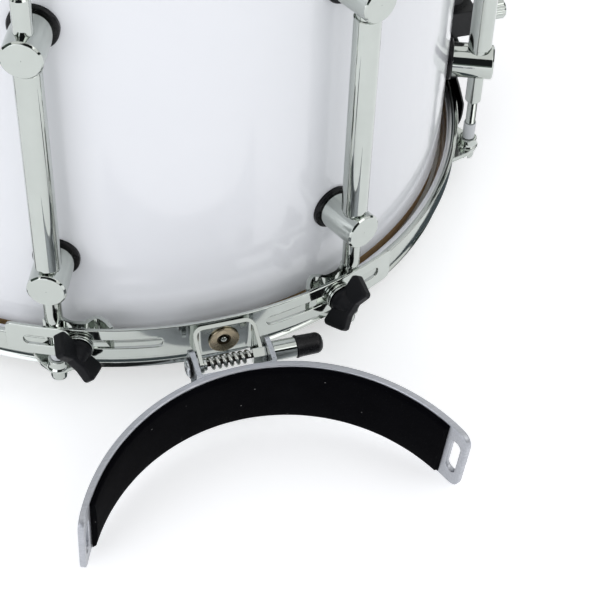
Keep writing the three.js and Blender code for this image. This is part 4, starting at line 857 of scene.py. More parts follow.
@dataclass
class Shell:
    """The ply shell with its white wrap, the air vent, the heads and their flesh hoops."""

    bore: float = 170.2
    wood_radius: float = 176.7
    low: float = 0.9  # height of the lower bearing edge
    high: float = 254.9
    bearing_round: float = 1.8
    wrap_inset: float = 10.6  # bare wood left at each edge
    wrap_bore: float = 177.0
    screw_hole: float = 3.0
    drilled: Flat = (150.0, 190.0)  # from inside the shell to outside it
    vent_angle: float = 135.0
    vent_bore: float = 3.6
    vent_hole: float = 4.9
    vent_flange: float = 6.5
    film: float = 0.6
    head_flat: float = 176.9  # radius of the head's flat face
    head_rings: tuple[float, ...] = (0.0, 60.0, 120.0)
    head_radius: float = 180.9
    head_rise: float = 1.6
    flesh_bore: float = 179.0
    flesh_wall: float = 5.6
    flesh_low: float = 2.5
    flesh_height: float = 10.2
    flesh_web: float = 3.1  # thickness above the foot that grips the film
    flesh_foot: float = 1.4

    def holes(self) -> Form:
        """Returns the cutters for the lugs', the plates' and the vent's holes."""
        near, far = self.drilled
        drill = bar(self.screw_hole, near, far, 16)
        wide = bar(self.vent_hole, near, far)
        cutters = [around(outward(drill, height), angle) for angle in LUG_ANGLES for height in Lug.levels()]
        for angle, height in ((STRAINER_ANGLE, STRAINER_SCREW_HEIGHT), (-STRAINER_ANGLE, BUTT_SCREW_HEIGHT)):
            cutters += [around(outward(drill, height).moved(x=x), angle) for x in PLATE_SCREWS]
        return joined(*cutters, around(outward(wide, HEAD_TO_HEAD / 2), self.vent_angle))

    def ply(self) -> Form:
        """Returns the shell with its bearing edges."""
        edge = self.bearing_round
        bearing = self.wood_radius - edge
        slope = bearing - self.bore
        profile = [
            (self.wood_radius, self.low + edge), (self.wood_radius, self.high - edge), (bearing, self.high),
            (self.bore, self.high - slope), (self.bore, self.low + slope), (bearing, self.low),
        ]
        return shaped(lathe(eased(profile, 1.2), 180), self.holes())

    def wrap(self) -> Form:
        """Returns the white wrap."""
        low, high = self.low + self.wrap_inset, self.high - self.wrap_inset
        profile = [(SHELL_RADIUS, low), (SHELL_RADIUS, high), (self.wrap_bore, high), (self.wrap_bore, low)]
        return shaped(lathe(eased(profile, 0.25), 180), self.holes())

    def head(self) -> Form:
        """Returns the lower head, which turns up into its flesh hoop."""
        flat = self.head_flat
        profile = [
            *((out, 0.0) for out in self.head_rings), (flat, 0.0), (self.head_radius, self.head_rise),
            (self.head_radius, self.head_rise + self.film), (flat - GAP, self.film),
            *((out, self.film) for out in reversed(self.head_rings)),
        ]
        return lathe(profile, 144)

    def flesh_hoop(self) -> Form:
        """Returns the flesh hoop of the lower head."""
        outer, high = self.flesh_bore + self.flesh_wall, self.flesh_low + self.flesh_height
        inner, foot = outer - self.flesh_web, self.flesh_low + self.flesh_foot
        profile = [
            (self.flesh_bore, self.flesh_low), (outer, self.flesh_low), (outer, high), (inner, high),
            (inner, foot + 0.6), (self.flesh_bore, foot),
        ]
        return lathe(eased(profile, 0.8), 144)

    def vent(self) -> Form:
        """Returns the grommet of the air vent."""
        bore, neck, inside, under = self.vent_bore, self.vent_bore + 1, 168.5, 178.1
        profile = [
            (bore, inside), (neck, inside), (neck, under), (self.vent_flange, under),
            (self.vent_flange, under + 0.6), (5.2, 179.4), (bore, 179.2),
        ]
        return around(outward(lathe(eased(profile, 0.3), 40), HEAD_TO_HEAD / 2), self.vent_angle)

    def pieces(self) -> Iterator[Piece]:
        """Gives the shell's pieces."""
        yield Piece.plain("ply_shell", self.ply(), MAPLE, Slot.MAPLE, "shell")
        yield Piece.plain("white_wrap", self.wrap(), WHITE_WRAP, Slot.WHITE_FINISH, "shell_finish")
        yield Piece.plain("vent_grommet", self.vent(), *BRIGHT, "air_vent")
        for side, turn in (("snare", Form.moved), ("batter", Form.turned_over)):
            film, ring = turn(self.head()), turn(self.flesh_hoop())
            yield Piece.plain(f"{side}_head_film", film, COATED_FILM, Slot.FILM, f"{side}_head")
            yield Piece.plain(
                f"{side}_flesh_ring", ring, FLESH_ALUMINIUM, Slot.FLESH_ALUMINIUM, f"{side}_flesh_hoop"
            )


@dataclass
class CounterHoop:
    """A pressed counter hoop with an ear for each tension rod, made for the snare side."""

    bore: float = 184.9
    radius: float = 186.9
    lip_radius: float = 187.8
    lip_height: float = 1.6
    high: float = 14.7
    seat: float = 2.2
    shoulder: float = 0.4
    rim_radius: float = 183.3
    low: float = -7.6
    ear_low: float = 1.4
    ear_high: float = 4.2
    boss_radius: float = 4.9
    boss_high: float = 8.9
    ear_side: tuple[Flat, ...] = (
        (15.0, 185.6), (14.5, 187.2), (12.2, 190.2), (8.8, 194.4), (4.6, 197.3), (2.4, 199.0),
    )

    def ring(self) -> Form:
        """Returns the pressed ring."""
        lip = self.lip_height
        profile = [
            (self.bore, self.high), (self.bore, self.seat), (RIM_BORE, self.seat), (RIM_BORE, self.low),
            (FLARE_RADIUS, self.low), (self.rim_radius, self.low + FLARE_RADIUS - self.rim_radius),
            (self.rim_radius, self.shoulder - 2), (self.radius, self.shoulder),
            (self.radius, self.high - lip), (self.lip_radius, self.high - lip * 0.7),
            (self.lip_radius, self.high),
        ]
        return lathe(eased(profile, 0.9), 192)

    def ear(self) -> Form:
        """Returns an ear with its boss, at the front."""
        outline = [(x, -n) for x, n in self.ear_side] + [(-x, -n) for x, n in reversed(self.ear_side)]
        sheet = prism(eased(outline, 2.5, 4), [self.ear_low, self.ear_high])
        hole = bar(ROD_BORE, -4, 14).moved(y=-ROD_CIRCLE)
        rounded = softened(shaped(sheet, hole), 0.6, 3, 40)
        top, radius = self.ear_high, self.boss_radius
        boss = [
            (ROD_BORE, top - 0.5), (radius + 1.3, top - 0.5), (radius + 0.3, top + 0.7), (radius, top + 2),
            (radius, self.boss_high), (ROD_BORE, self.boss_high),
        ]
        return joined(rounded, lathe(eased(boss, 0.5), 40).moved(y=-ROD_CIRCLE))

    def pieces(self) -> Iterator[Piece]:
        """Gives the hoops of both sides."""
        ear = self.ear()
        whole = joined(self.ring(), *(around(ear, angle) for angle in LUG_ANGLES))
        yield Piece.plain("snare_counter_hoop", whole, *PRESSED, "snare_hoop")
        yield Piece.plain("batter_counter_hoop", whole.turned_over(), *PRESSED, "batter_hoop")


@dataclass
class Lug:
    """A tube lug: two posts on gaskets, a tube, two swivel nuts and two screws from inside."""

    post_radius: float = 9.4
    post_back: float = 180.0
    post_face: float = 202.3
    tube_radius: float = 6.35
    neck_radius: float = 5.5
    tube_reach: float = 6.0  # how far the tube and the sleeve stand in a post, from its middle
    gasket_bore: float = 4.0
    gasket_radius: float = 11.4
    gasket_back: float = 177.0
    gasket_shoulder: float = 179.3
    gasket_face: float = 179.95
    sleeve_radius: float = 4.4
    sleeve_low: float = 34.85
    screw_seat: float = 169.5
    screw_end: float = 181.0

    @staticmethod
    def levels() -> Flat:
        """Returns the heights of the two posts."""
        return (POST_HEIGHT, HEAD_TO_HEAD - POST_HEIGHT)

    def post(self) -> Form:
        """Returns a post about Z, from its foot to its face."""
        radius, face = self.post_radius, self.post_face
        return spindle([(radius, self.post_back), (radius, face - 0.9), (radius - 0.9, face)], 56, 0.45)

    def gasket(self, height: float) -> Form:
        """Returns the gasket under a post, its back fitted to the shell."""
        bore, radius = self.gasket_bore, self.gasket_radius
        profile = [
            (bore, self.gasket_back), (radius, self.gasket_back), (radius, self.gasket_shoulder),
            (radius - 0.6, self.gasket_face), (bore, self.gasket_face),
        ]
        flat = outward(lathe(eased(profile, 0.3), 56), height)
        back = SHELL_RADIUS + 0.12
        return flat.mapped(lambda p: (p.x, min(p.y, -math.sqrt(back**2 - p.x**2)), p.z))

    def tube(self) -> Form:
        """Returns the tube between the posts, necked down where it meets them."""
        low, high = self.levels()
        thin, thick, ease, reach = self.neck_radius, self.tube_radius, 0.35, self.tube_reach
        neck = self.post_radius + 0.55
        profile = [
            (thin, low + reach), (thin, low + neck), (thick - ease, low + neck), (thick, low + neck + ease),
            (thick, high - neck - ease), (thick - ease, high - neck), (thin, high - neck),
            (thin, high - reach),
        ]
        return spindle(profile, 48).moved(y=-ROD_CIRCLE)

    def sleeve(self) -> Form:
        """Returns the swivel nut sleeve below the lower post."""
        low, inside, radius = self.sleeve_low, POST_HEIGHT - self.tube_reach, self.sleeve_radius
        profile = [
            (ROD_BORE, inside), (ROD_BORE, low + 0.4), (ROD_BORE + 0.4, low), (radius - 0.7, low),
            (radius, low + 0.8), (radius, inside),
        ]
        return lathe(profile, 40).moved(y=-ROD_CIRCLE)

    def screw(self) -> Form:
        """Returns a screw with its washer head, as seen inside the shell."""
        seat = self.screw_seat
        profile = [
            (4.5, seat - 3.0), (4.9, seat - 1.0), (6.5, seat - 0.8), (6.5, seat), (2.4, seat),
            (2.4, self.screw_end),
        ]
        slot = brick((-0.5, -2.6, seat - 4), (0.5, 2.6, seat - 1.9))
        return shaped(spindle(profile, 32, 0.25), slot, slot.turned(Axis.Z, 90))

    def whole(self) -> list[tuple[Form, Finish]]:
        """Returns the lug at the drum's front."""
        sleeve, screw, post = self.sleeve(), self.screw(), self.post()
        bright = [self.tube(), sleeve, sleeve.turned_over()]
        for height in self.levels():
            bright += [outward(post, height), outward(screw, height)]
        gaskets = [self.gasket(height) for height in self.levels()]
        return [(joined(*bright), CHROME), (joined(*gaskets), RUBBER)]

    def pieces(self) -> Iterator[Piece]:
        """Gives the eight lugs."""
        whole = self.whole()
        for i, angle in enumerate(LUG_ANGLES, 1):
            parts = [(around(form, angle), finish) for form, finish in whole]
            yield Piece(f"tube_lug_{i}", parts, Slot.CHROME, [f"lug_{i}"])


def plate_screws(height: float) -> list[Form]:
    """Returns the mounting screws of the strainer or the butt plate, at their height."""
    return [outward(Lug().screw(), height).moved(x=x) for x in PLATE_SCREWS]


@dataclass
class TensionRod:
    """The tension rods of both sides, with their spacers."""

    radius: float = 2.75
    seat: float = 1.1
    head_radius: float = 4.2
    head_height: float = 6.0
    slot_width: float = 1.8
    slot_depth: float = 3.8
    key_square: float = 6.2
    key_height: float = 6.4
    flange_radius: float = 4.6
    flange_height: float = 2.6
    spacer_radius: float = 3.4
    spacer_low: float = 9.2
    spacer_high: float = 19.4
    thread_low: float = 20.0
    high: float = 49.0

    def stem(self) -> Form:
        """Returns the stem, plain in the hoop's ear and threaded above the spacer."""
        plain = bar(self.radius, self.seat - 1, self.thread_low)
        return joined(plain, threaded(self.radius, self.thread_low, self.high))

    def slotted_head(self) -> Form:
        """Returns the round slotted head of the snare side."""
        low, radius = self.seat - self.head_height, self.head_radius
        profile = [
            (radius - 1.1, low), (radius - 0.25, low + 0.7), (radius, low + 1.9), (radius, self.seat - 0.5),
            (radius - 0.5, self.seat),
        ]
        half, reach = self.slot_width / 2, radius + 2
        slot = brick((-reach, -half, low - 2), (reach, half, low + self.slot_depth))
        return softened(shaped(spindle(profile, 48, 0.5), slot), 0.22, 2, 50)

    def key_head(self) -> Form:
        """Returns the square head on its flange, of the batter side."""
        flange_low = self.seat - self.flange_height
        flange = [
            (3.2, flange_low), (self.flange_radius, flange_low + 0.6), (self.flange_radius, self.seat - 0.2),
            (self.head_radius, self.seat),
        ]
        half, low = self.key_square / 2, flange_low - self.key_height
        square = softened(brick((-half, -half, low), (half, half, flange_low + 0.5)), 0.7, 3, 40)
        return joined(spindle(flange, 40, 0.3), square)

    def spacer(self) -> Form:
        """Returns the nylon spacer."""
        profile = walled(self.radius + 0.1, self.spacer_radius, self.spacer_low, self.spacer_high)
        return lathe(eased(profile, 0.4), 36)

    def pieces(self) -> Iterator[Piece]:
        """Gives the sixteen rods."""
        stem, spacer = self.stem(), self.spacer()
        sides = [("snare", joined(self.slotted_head(), stem)), ("batter", joined(self.key_head(), stem))]
        for side, metal in sides:
            for i, angle in enumerate(LUG_ANGLES, 1):
                parts = []
                for form, finish in ((metal, CHROME), (spacer, PALE_NYLON)):
                    placed = around(form.moved(y=-ROD_CIRCLE), angle)
                    parts.append((placed.turned_over() if side == "batter" else placed, finish))
                yield Piece(f"{side}_tension_rod_{i}", parts, Slot.CHROME, [f"{side}_rod_{i}"])


@dataclass
class SnareWires:
    """Coiled wires between two end plates, under the lower head."""

    count: int = 20
    spacing: float = 4.2
    half_length: float = 135.0
    coil_radius: float = 0.82
    wire_radius: float = 0.27
    pitch: float = 1.8  # wider than a real coil's, so that each turn shows
    turn_steps: int = 6
    level: float = -1.45
    plate_half_width: float = 42.0
    plate_length: float = 14.0
    plate_thickness: float = 2.3

    def coil(self, y: float) -> Form:
        """Returns one coiled wire."""
        radius, half = self.coil_radius, self.half_length
        count = int(2 * half / self.pitch * self.turn_steps)
        path = []
        for i in range(count + 1):
            angle = 2 * math.pi * i / self.turn_steps
            place = (y + radius * math.cos(angle), self.level + radius * math.sin(angle))
            path.append(Vector((-half + 2 * half * i / count, *place)))
        return wire(path, self.wire_radius, 4)

    def end_plate(self) -> Form:
        """Returns the plate that the wires are soldered on, at their right end."""
        near, far = self.half_length - 1, self.half_length + self.plate_length
        half, low = self.plate_half_width, self.level - self.plate_thickness / 2
        return softened(brick((near, -half, low), (far, half, low + self.plate_thickness)), 0.6, 3)

    def pieces(self) -> Iterator[Piece]:
        """Gives the wires with their plates as one piece."""
        places = [(i - (self.count - 1) / 2) * self.spacing for i in range(self.count)]
        wires = joined(*(self.coil(y) for y in places))
        plate = self.end_plate()
        plates = joined(plate.turned(Axis.Z, 180), plate)
        yield Piece("coiled_snare_wires", [(wires, WIRE_STEEL), (plates, ZINC)], Slot.STEEL, ["snare_wires"])


@dataclass
class SnareStrap:
    """A black strap from the snare wires round the hoop, and the clamp that holds it on a lip."""

    half_width: float = 46.0
    thickness: float = 0.8
    lip_low: float = 29.0
    lip_high: float = 46.0
    clamp_bore: float = 186.8
    clamp_radius: float = 189.8
    clamp_low: float = 31.0
    clamp_high: float = 41.0
    screw_height: float = 36.0
    screw_angles: tuple[float, ...] = (-11.475, -3.825, 3.825, 11.475)
    path: tuple[Flat, ...] = (
        (181.5, -8.7), (187.4, -8.7), (190.0, -7.6), (192.2, -2.1), (192.7, 7.0), (191.8, 11.4),
        (188.8, 22.0), (186.1, 31.0), (186.1, 42.7),
    )
    under_path: tuple[Flat, ...] = ((138.0, -3.3), (167.8, -3.3), (173.3, -8.7))

    def strap(self) -> Form:
        """Returns the strap at the drum's front, bent round the hoop."""
        columns = 24
        line = flowing(self.path, 5)
        length = len(self.under_path) + len(line)
        inner: list[Vector] = []
        outer: list[Vector] = []
        for i in range(columns + 1):
            x = self.half_width * (2 * i / columns - 1)
            bowed = [(math.sqrt(max(n * n - x * x, 0)), z) for n, z in line]
            edges = ribbon([*self.under_path, *bowed], self.thickness)
            inner += [Vector((x, -n, z)) for n, z in reversed(edges[length:])]
            outer += [Vector((x, -n, z)) for n, z in edges[:length]]
        shift = len(inner)
        faces: list[Face] = []
        for i in range(columns):
            for k in range(length - 1):
                a, b = i * length + k, (i + 1) * length + k
                faces += [(a, a + 1, b + 1, b), (shift + a, shift + b, shift + b + 1, shift + a + 1)]
            for k in (0, length - 1):
                a, b = i * length + k, (i + 1) * length + k
                faces.append((a, b, shift + b, shift + a))
        for i in (0, columns):
            for k in range(length - 1):
                a = i * length + k
                faces.append((a, shift + a, shift + a + 1, a + 1))
        return Form(inner + outer, faces)

    def slice(self, profile: Sequence[Flat]) -> Form:
        """Returns a ring's slice as wide as the strap."""
        sweep = 2 * math.degrees(math.asin(self.half_width / profile[0][0]))
        return lathe(profile, 32, -sweep / 2, sweep)

    def lip(self) -> Form:
        """Returns the lip that the strap is clamped on."""
        profile = walled(RIM_BORE, FLARE_RADIUS, self.lip_low, self.lip_high)
        return softened(self.slice(profile), 0.6, 2, 50)

    def clamp(self) -> Form:
        """Returns the clamp bar with its four screws."""
        face = self.clamp_radius
        profile = walled(self.clamp_bore, face, self.clamp_low, self.clamp_high)
        head = [(1.9, RIM_BORE), (1.9, face - 1), (3.4, face - 1), (3.4, face + 1.0), (2.3, face + 2.2)]
        groove = brick((-4, -0.45, face + 1.1), (4, 0.45, face + 4))
        screw = outward(shaped(spindle(head, 32, 0.4), groove), self.screw_height)
        bar_form = softened(self.slice(profile), 0.8, 3, 50)
        return joined(bar_form, *(around(screw, angle) for angle in self.screw_angles))


@dataclass
class Strainer:
    """The strainer at the right of the drum: block, lever, carriage, knobs and its strap."""

    strap: SnareStrap = field(default_factory=SnareStrap)
    half: float = 27.0
    face: float = 192.0
    back: float = 170.0
    low: float = 64.0
    high: float = 134.0
    bevel: float = 9.0
    pivot: Flat = (196.5, 125.0)
    cheek_half: float = 19.0
    cheek_wall: float = 4.0
    cheek_foot: Flat = (191.0, 110.0)
    lever_half: float = 10.0
    lever_wall: float = 3.0
    lever_path: tuple[Flat, ...] = (  # out from the pivot and down from it
        (0.0, 0.0), (0.0, -20.0), (0.0, -46.0), (2.4, -51.0), (6.0, -56.0),
    )
    carriage_half: float = 29.0
    knob_level: float = 52.5
    knob_places: Flat = (-21.0, 21.0)
    knob_ends: Flat = (197.3, 216.3)
    knob_radius: float = 5.6
    knob_grooves: int = 20
    groove_depth: float = 0.35

    @staticmethod
    def shell_space() -> Form:
        """Returns the space that the shell takes, as a cutter."""
        return lathe(walled(100, SHELL_RADIUS + GAP, 20, 150), 180)

    def on_pivot(self, radius: float, reach: float, steps: int, ease: float = 0.0) -> Form:
        """Returns a round bar on the lever's pivot."""
        out, up = self.pivot
        return crosswise(bar(radius, -reach, reach, steps, ease)).moved(y=-out, z=up)

    def block(self) -> Form:
        """Returns the cast block with its two cheeks and the rail's slot."""
        side = [
            (self.face, self.low + self.bevel), (self.face, self.high - self.bevel),
            (self.face - self.bevel, self.high), (self.back, self.high), (self.back, self.low),
            (self.face - self.bevel / 2, self.low),
        ]
        body = side_prism(eased(side, 3.0, 4), [-self.half, self.half])
        rail = brick((-8, -189.4, 50), (8, -184.0, 96))
        body = softened(shaped(body, self.shell_space(), rail), 1.1, 3, 40)
        out, up = self.pivot
        cheek = [self.cheek_foot, *arc((out - 0.5, up), 5.0, -40, 90, 8), (self.cheek_foot[0], up + 5)]
        hole = self.on_pivot(2.5, 30, 24)
        half, wall = self.cheek_half, self.cheek_wall
        cheeks = []
        for places in ((-half, wall - half), (half - wall, half)):
            cheeks.append(softened(shaped(side_prism(cheek, places), hole), 0.7, 2, 40))
        return joined(body, *cheeks, *plate_screws(STRAINER_SCREW_HEIGHT))

    def lever(self) -> Form:
        """Returns the throw lever with its hub and pin, its end turned out."""
        out, up = self.pivot
        path = flowing([(out + x, up + z) for x, z in self.lever_path])
        arm = side_prism(ribbon(path, self.lever_wall), [-self.lever_half, self.lever_half])
        hub = self.on_pivot(4.0, self.cheek_half - self.cheek_wall - GAP, 32, 0.5)
        pin = self.on_pivot(2.2, self.cheek_half, 24, 0.4)
        return joined(softened(arm, 1.0, 3, 40), hub, pin)

    def carriage(self) -> Form:
        """Returns the sliding carriage with its lip and tongue."""
        side = [(197.0, 43.0), (197.0, 60.0), (181.0, 60.0), (181.0, 43.0)]
        body = side_prism(eased(side, 1.6, 3), [-self.carriage_half, self.carriage_half])
        bores = [outward(bar(2.6, 187, 200), self.knob_level).moved(x=x) for x in self.knob_places]
        body = softened(shaped(body, self.shell_space(), *bores), 0.9, 2, 40)
        tongue = softened(brick((-7.7, -189.1, 59), (7.7, -184.3, 94)), 0.5, 2, 40)
        return joined(body, self.strap.lip(), tongue)

    def knob(self) -> Form:
        """Returns a tension knob about Z, with grip grooves round it."""
        near, far = self.knob_ends
        steps = 6 * self.knob_grooves
        outline = []
        for i in range(steps):
            angle = 2 * math.pi * i / steps
            dip = self.groove_depth * (0.5 - 0.5 * math.cos(angle * self.knob_grooves)) ** 2
            radius = self.knob_radius - dip
            outline.append((radius * math.cos(angle), radius * math.sin(angle)))
        grip = prism(outline, [near + 3.2, far - 1.4])
        radius = self.knob_radius
        plain = [(2.2, 188.0), (2.2, near), (5.35, near), (radius, near + 0.3), (radius, near + 3.3)]
        stem = spindle([*plain, (5.0, near + 3.4)], 56)
        nose = spindle([(5.2, far - 1.5), (5.4, far - 1.4), (5.0, far - 0.4), (4.4, far)], 56, 0.3)
        return joined(stem, grip, nose)

    def pieces(self) -> Iterator[Piece]:
        """Gives the strainer's pieces, round the drum at their angle."""
        knob, strap = outward(self.knob(), self.knob_level), self.strap
        front, rear = self.knob_places
        rows = [
            ("strainer_housing", self.block(), *CAST, "strainer_block", Body.DRUM),
            ("throw_lever", self.lever(), *BRIGHT, "strainer_lever", Body.LEVER),
            ("sliding_carriage", self.carriage(), *CAST, "strainer_carriage", Body.CARRIAGE),
            ("strainer_clamp_bar", strap.clamp(), *BRIGHT, "strainer_clamp", Body.CARRIAGE),
            ("strainer_strap_sheet", strap.strap(), *SHEET, "strainer_strap", Body.CARRIAGE),
            ("knob_at_front", knob.moved(x=front), *BRIGHT, "tension_knob_front", Body.KNOB_FRONT),
            ("knob_at_rear", knob.moved(x=rear), *BRIGHT, "tension_knob_rear", Body.KNOB_REAR),
        ]
        for name, form, *rest in rows:
            yield Piece.plain(name, around(form, STRAINER_ANGLE), *rest)


@dataclass
class ButtPlate:
    """The butt plate opposite the strainer, with its strap and clamp."""

    strap: SnareStrap = field(default_factory=SnareStrap)
    half: float = 27.0
    side: tuple[Flat, ...] = (
        (192.0, 49.0), (192.0, 57.0), (183.0, 66.0), (170.0, 66.0), (170.0, 43.0), (192.0, 43.0),
    )

    def block(self) -> Form:
        """Returns the cast plate with its lip and screws."""
        body = side_prism(eased(self.side, 2.0, 4), [-self.half, self.half])
        body = softened(shaped(body, Strainer.shell_space()), 1.1, 3, 40)
        return joined(body, self.strap.lip(), *plate_screws(BUTT_SCREW_HEIGHT))

    def pieces(self) -> Iterator[Piece]:
        """Gives the butt plate's pieces."""
        rows = [
            ("butt_block", self.block(), *CAST, "butt_plate"),
            ("butt_clamp_bar", self.strap.clamp(), *BRIGHT, "butt_clamp"),
            ("butt_strap_sheet", self.strap.strap(), *SHEET, "butt_strap"),
        ]
        for name, form, *rest in rows:
            yield Piece.plain(name, around(form, -STRAINER_ANGLE), *rest)


@dataclass
class RestBand:
    """The leg rest's slotted band with its hooks, washers and wing screws."""

    bore: float = 197.9
    low: float = 15.6
    high: float = 34.5
    half_angle: float = 29.2
    corner: float = 4.0
    slot_near: float = 7.4
    slot_far: float = 26.7
    slot_height: float = 5.8
    wing_angle: float = 18.9
    hook_low: float = 19.9
    hook_high: float = 33.7
    hook_thickness: float = 2.0
    washer_bore: float = 2.8
    washer_radius: float = 7.1
    washer_wall: float = 1.2
    washer_places: Flat = (200.0, 201.5)
    bolt_radius: float = 2.5
    bolt_back: float = 190.6
    wing_back: float = 203.0
    wing_span: float = 15.0
    wing_length: float = 13.0
    wing_thickness: float = 7.0
    wing_tilt: float = 37.0
    hub_radius: float = 6.6
    rivet_height: float = 23.3
    rivet_hole: float = 2.9
    hook_path: tuple[Flat, ...] = (
        (15.4, 195.9), (12.8, 192.6), (10.4, 190.6), (8.0, 189.6), (5.6, 190.6), (3.4, 192.9), (1.6, 193.6),
        (-4.0, 193.6), (-8.1, 191.6), (-10.2, 189.7), (-12.2, 189.57), (-15.4, 190.6), (-17.2, 192.8),
    )
    wing_shares: tuple[Flat, ...] = (
        (0.9, 0.0), (1.0, 0.14), (0.9, 0.5), (0.77, 0.92), (0.66, 1.0), (0.24, 0.8),
    )

    def band(self) -> Form:
        """Returns the pressed band."""
        middle = (self.bore + BAND_FACE) / 2
        reach = math.radians(self.half_angle) * middle
        half = (self.high - self.low) / 2
        corners = [(-reach, -half), (reach, -half), (reach, half), (-reach, half)]
        outlines = [eased(corners, self.corner, 6)]
        radius = self.slot_height / 2
        for hand in (-1, 1):
            near, far = sorted(hand * math.radians(a) * middle for a in (self.slot_near, self.slot_far))
            left = arc((near + radius, 0.0), radius, 90, 270, 10)
            outlines.append([*left, *arc((far - radius, 0.0), radius, -90, 90, 10)])
        rivet_x = math.asin(HINGE.x / middle) * middle
        outlines.append(arc((rivet_x, self.rivet_height - BAND_MIDDLE), self.rivet_hole, 0, 345, 23))
        sheet = flat_sheet(outlines, BAND_FACE - self.bore, 0.45)
        return bent(sheet, middle, 88).moved(z=BAND_MIDDLE)

    def hook(self, hand: int) -> Form:
        """Returns a hooked clamp plate, which arches behind the band and bears on the tension rod."""
        path = [(-hand * along, -out) for along, out in flowing(self.hook_path, 5)]
        sheet = prism(ribbon(path, self.hook_thickness), [self.hook_low, self.hook_high])
        hole = outward(bar(self.washer_bore, 185, 197), BAND_MIDDLE)
        return around(softened(shaped(sheet, hole), 0.45, 2, 40), hand * self.wing_angle)

    def washers(self, hand: int) -> Form:
        """Returns the pair of washers under a wing screw."""
        pair = []
        for near in self.washer_places:
            outline = walled(self.washer_bore, self.washer_radius, near, near + self.washer_wall)
            pair.append(outward(lathe(eased(outline, 0.35), 56), BAND_MIDDLE))
        return around(joined(*pair), hand * self.wing_angle)

    def wing(self, hand: int) -> list[tuple[Form, Finish]]:
        """Returns a wing screw with its moulded wings and its bolt."""
        half = [(share * self.wing_span, out * self.wing_length) for share, out in self.wing_shares]
        outline = eased(half + [(-x, out) for x, out in reversed(half)], 1.6, 4)
        face = self.wing_thickness / 2

        def thinned(p: Vector) -> Point:
            """Thins the wings towards their outer edges."""
            out = max(p.y, 0.0) / self.wing_length
            thin = 1 - 0.16 * out - 0.1 * (abs(p.x) / self.wing_span) ** 2
            return (p.x, p.y, p.z * thin)

        lobes = softened(prism(outline, [-face, -1.8, 0.0, 1.8, face]).mapped(thinned), 1.3, 4, 40)
        radius = self.hub_radius
        profile = [(radius - 0.4, 0.0), (radius, 0.5), (radius, 2.2), (5.4, 3.4), (4.2, 7.5), (3.0, 9.4)]
        hub = spindle(profile, 48, 0.4).turned(Axis.X, -90)
        bolt = threaded(self.bolt_radius, self.bolt_back - self.wing_back, 0.5).turned(Axis.X, -90)
        parts = []
        for form, finish in ((lobes, NYLON), (hub, NYLON), (bolt, ZINC)):
            laid = form.turned(Axis.X, 180).moved(y=-self.wing_back)
            tilted = laid.turned(Axis.Y, 90 + hand * self.wing_tilt).moved(z=BAND_MIDDLE)
            parts.append((around(tilted, hand * self.wing_angle), finish))
        return parts

    def pieces(self) -> Iterator[Piece]:
        """Gives the band and its clamps."""
        yield Piece.plain("slotted_rest_band", self.band(), *PRESSED, "leg_rest_band")
        for hand, side, body in ((-1, "left", Body.WING_LEFT), (1, "right", Body.WING_RIGHT)):
            yield Piece.plain(f"rod_hook_{side}", self.hook(hand), *PRESSED, f"clamp_hook_{side}")
            yield Piece.plain(f"washers_{side}", self.washers(hand), *BRIGHT, f"washer_pair_{side}")
            wing = self.wing(hand)
            yield Piece(f"moulded_wing_{side}", wing, Slot.BLACK_PLASTIC, [f"wing_screw_{side}"], body)


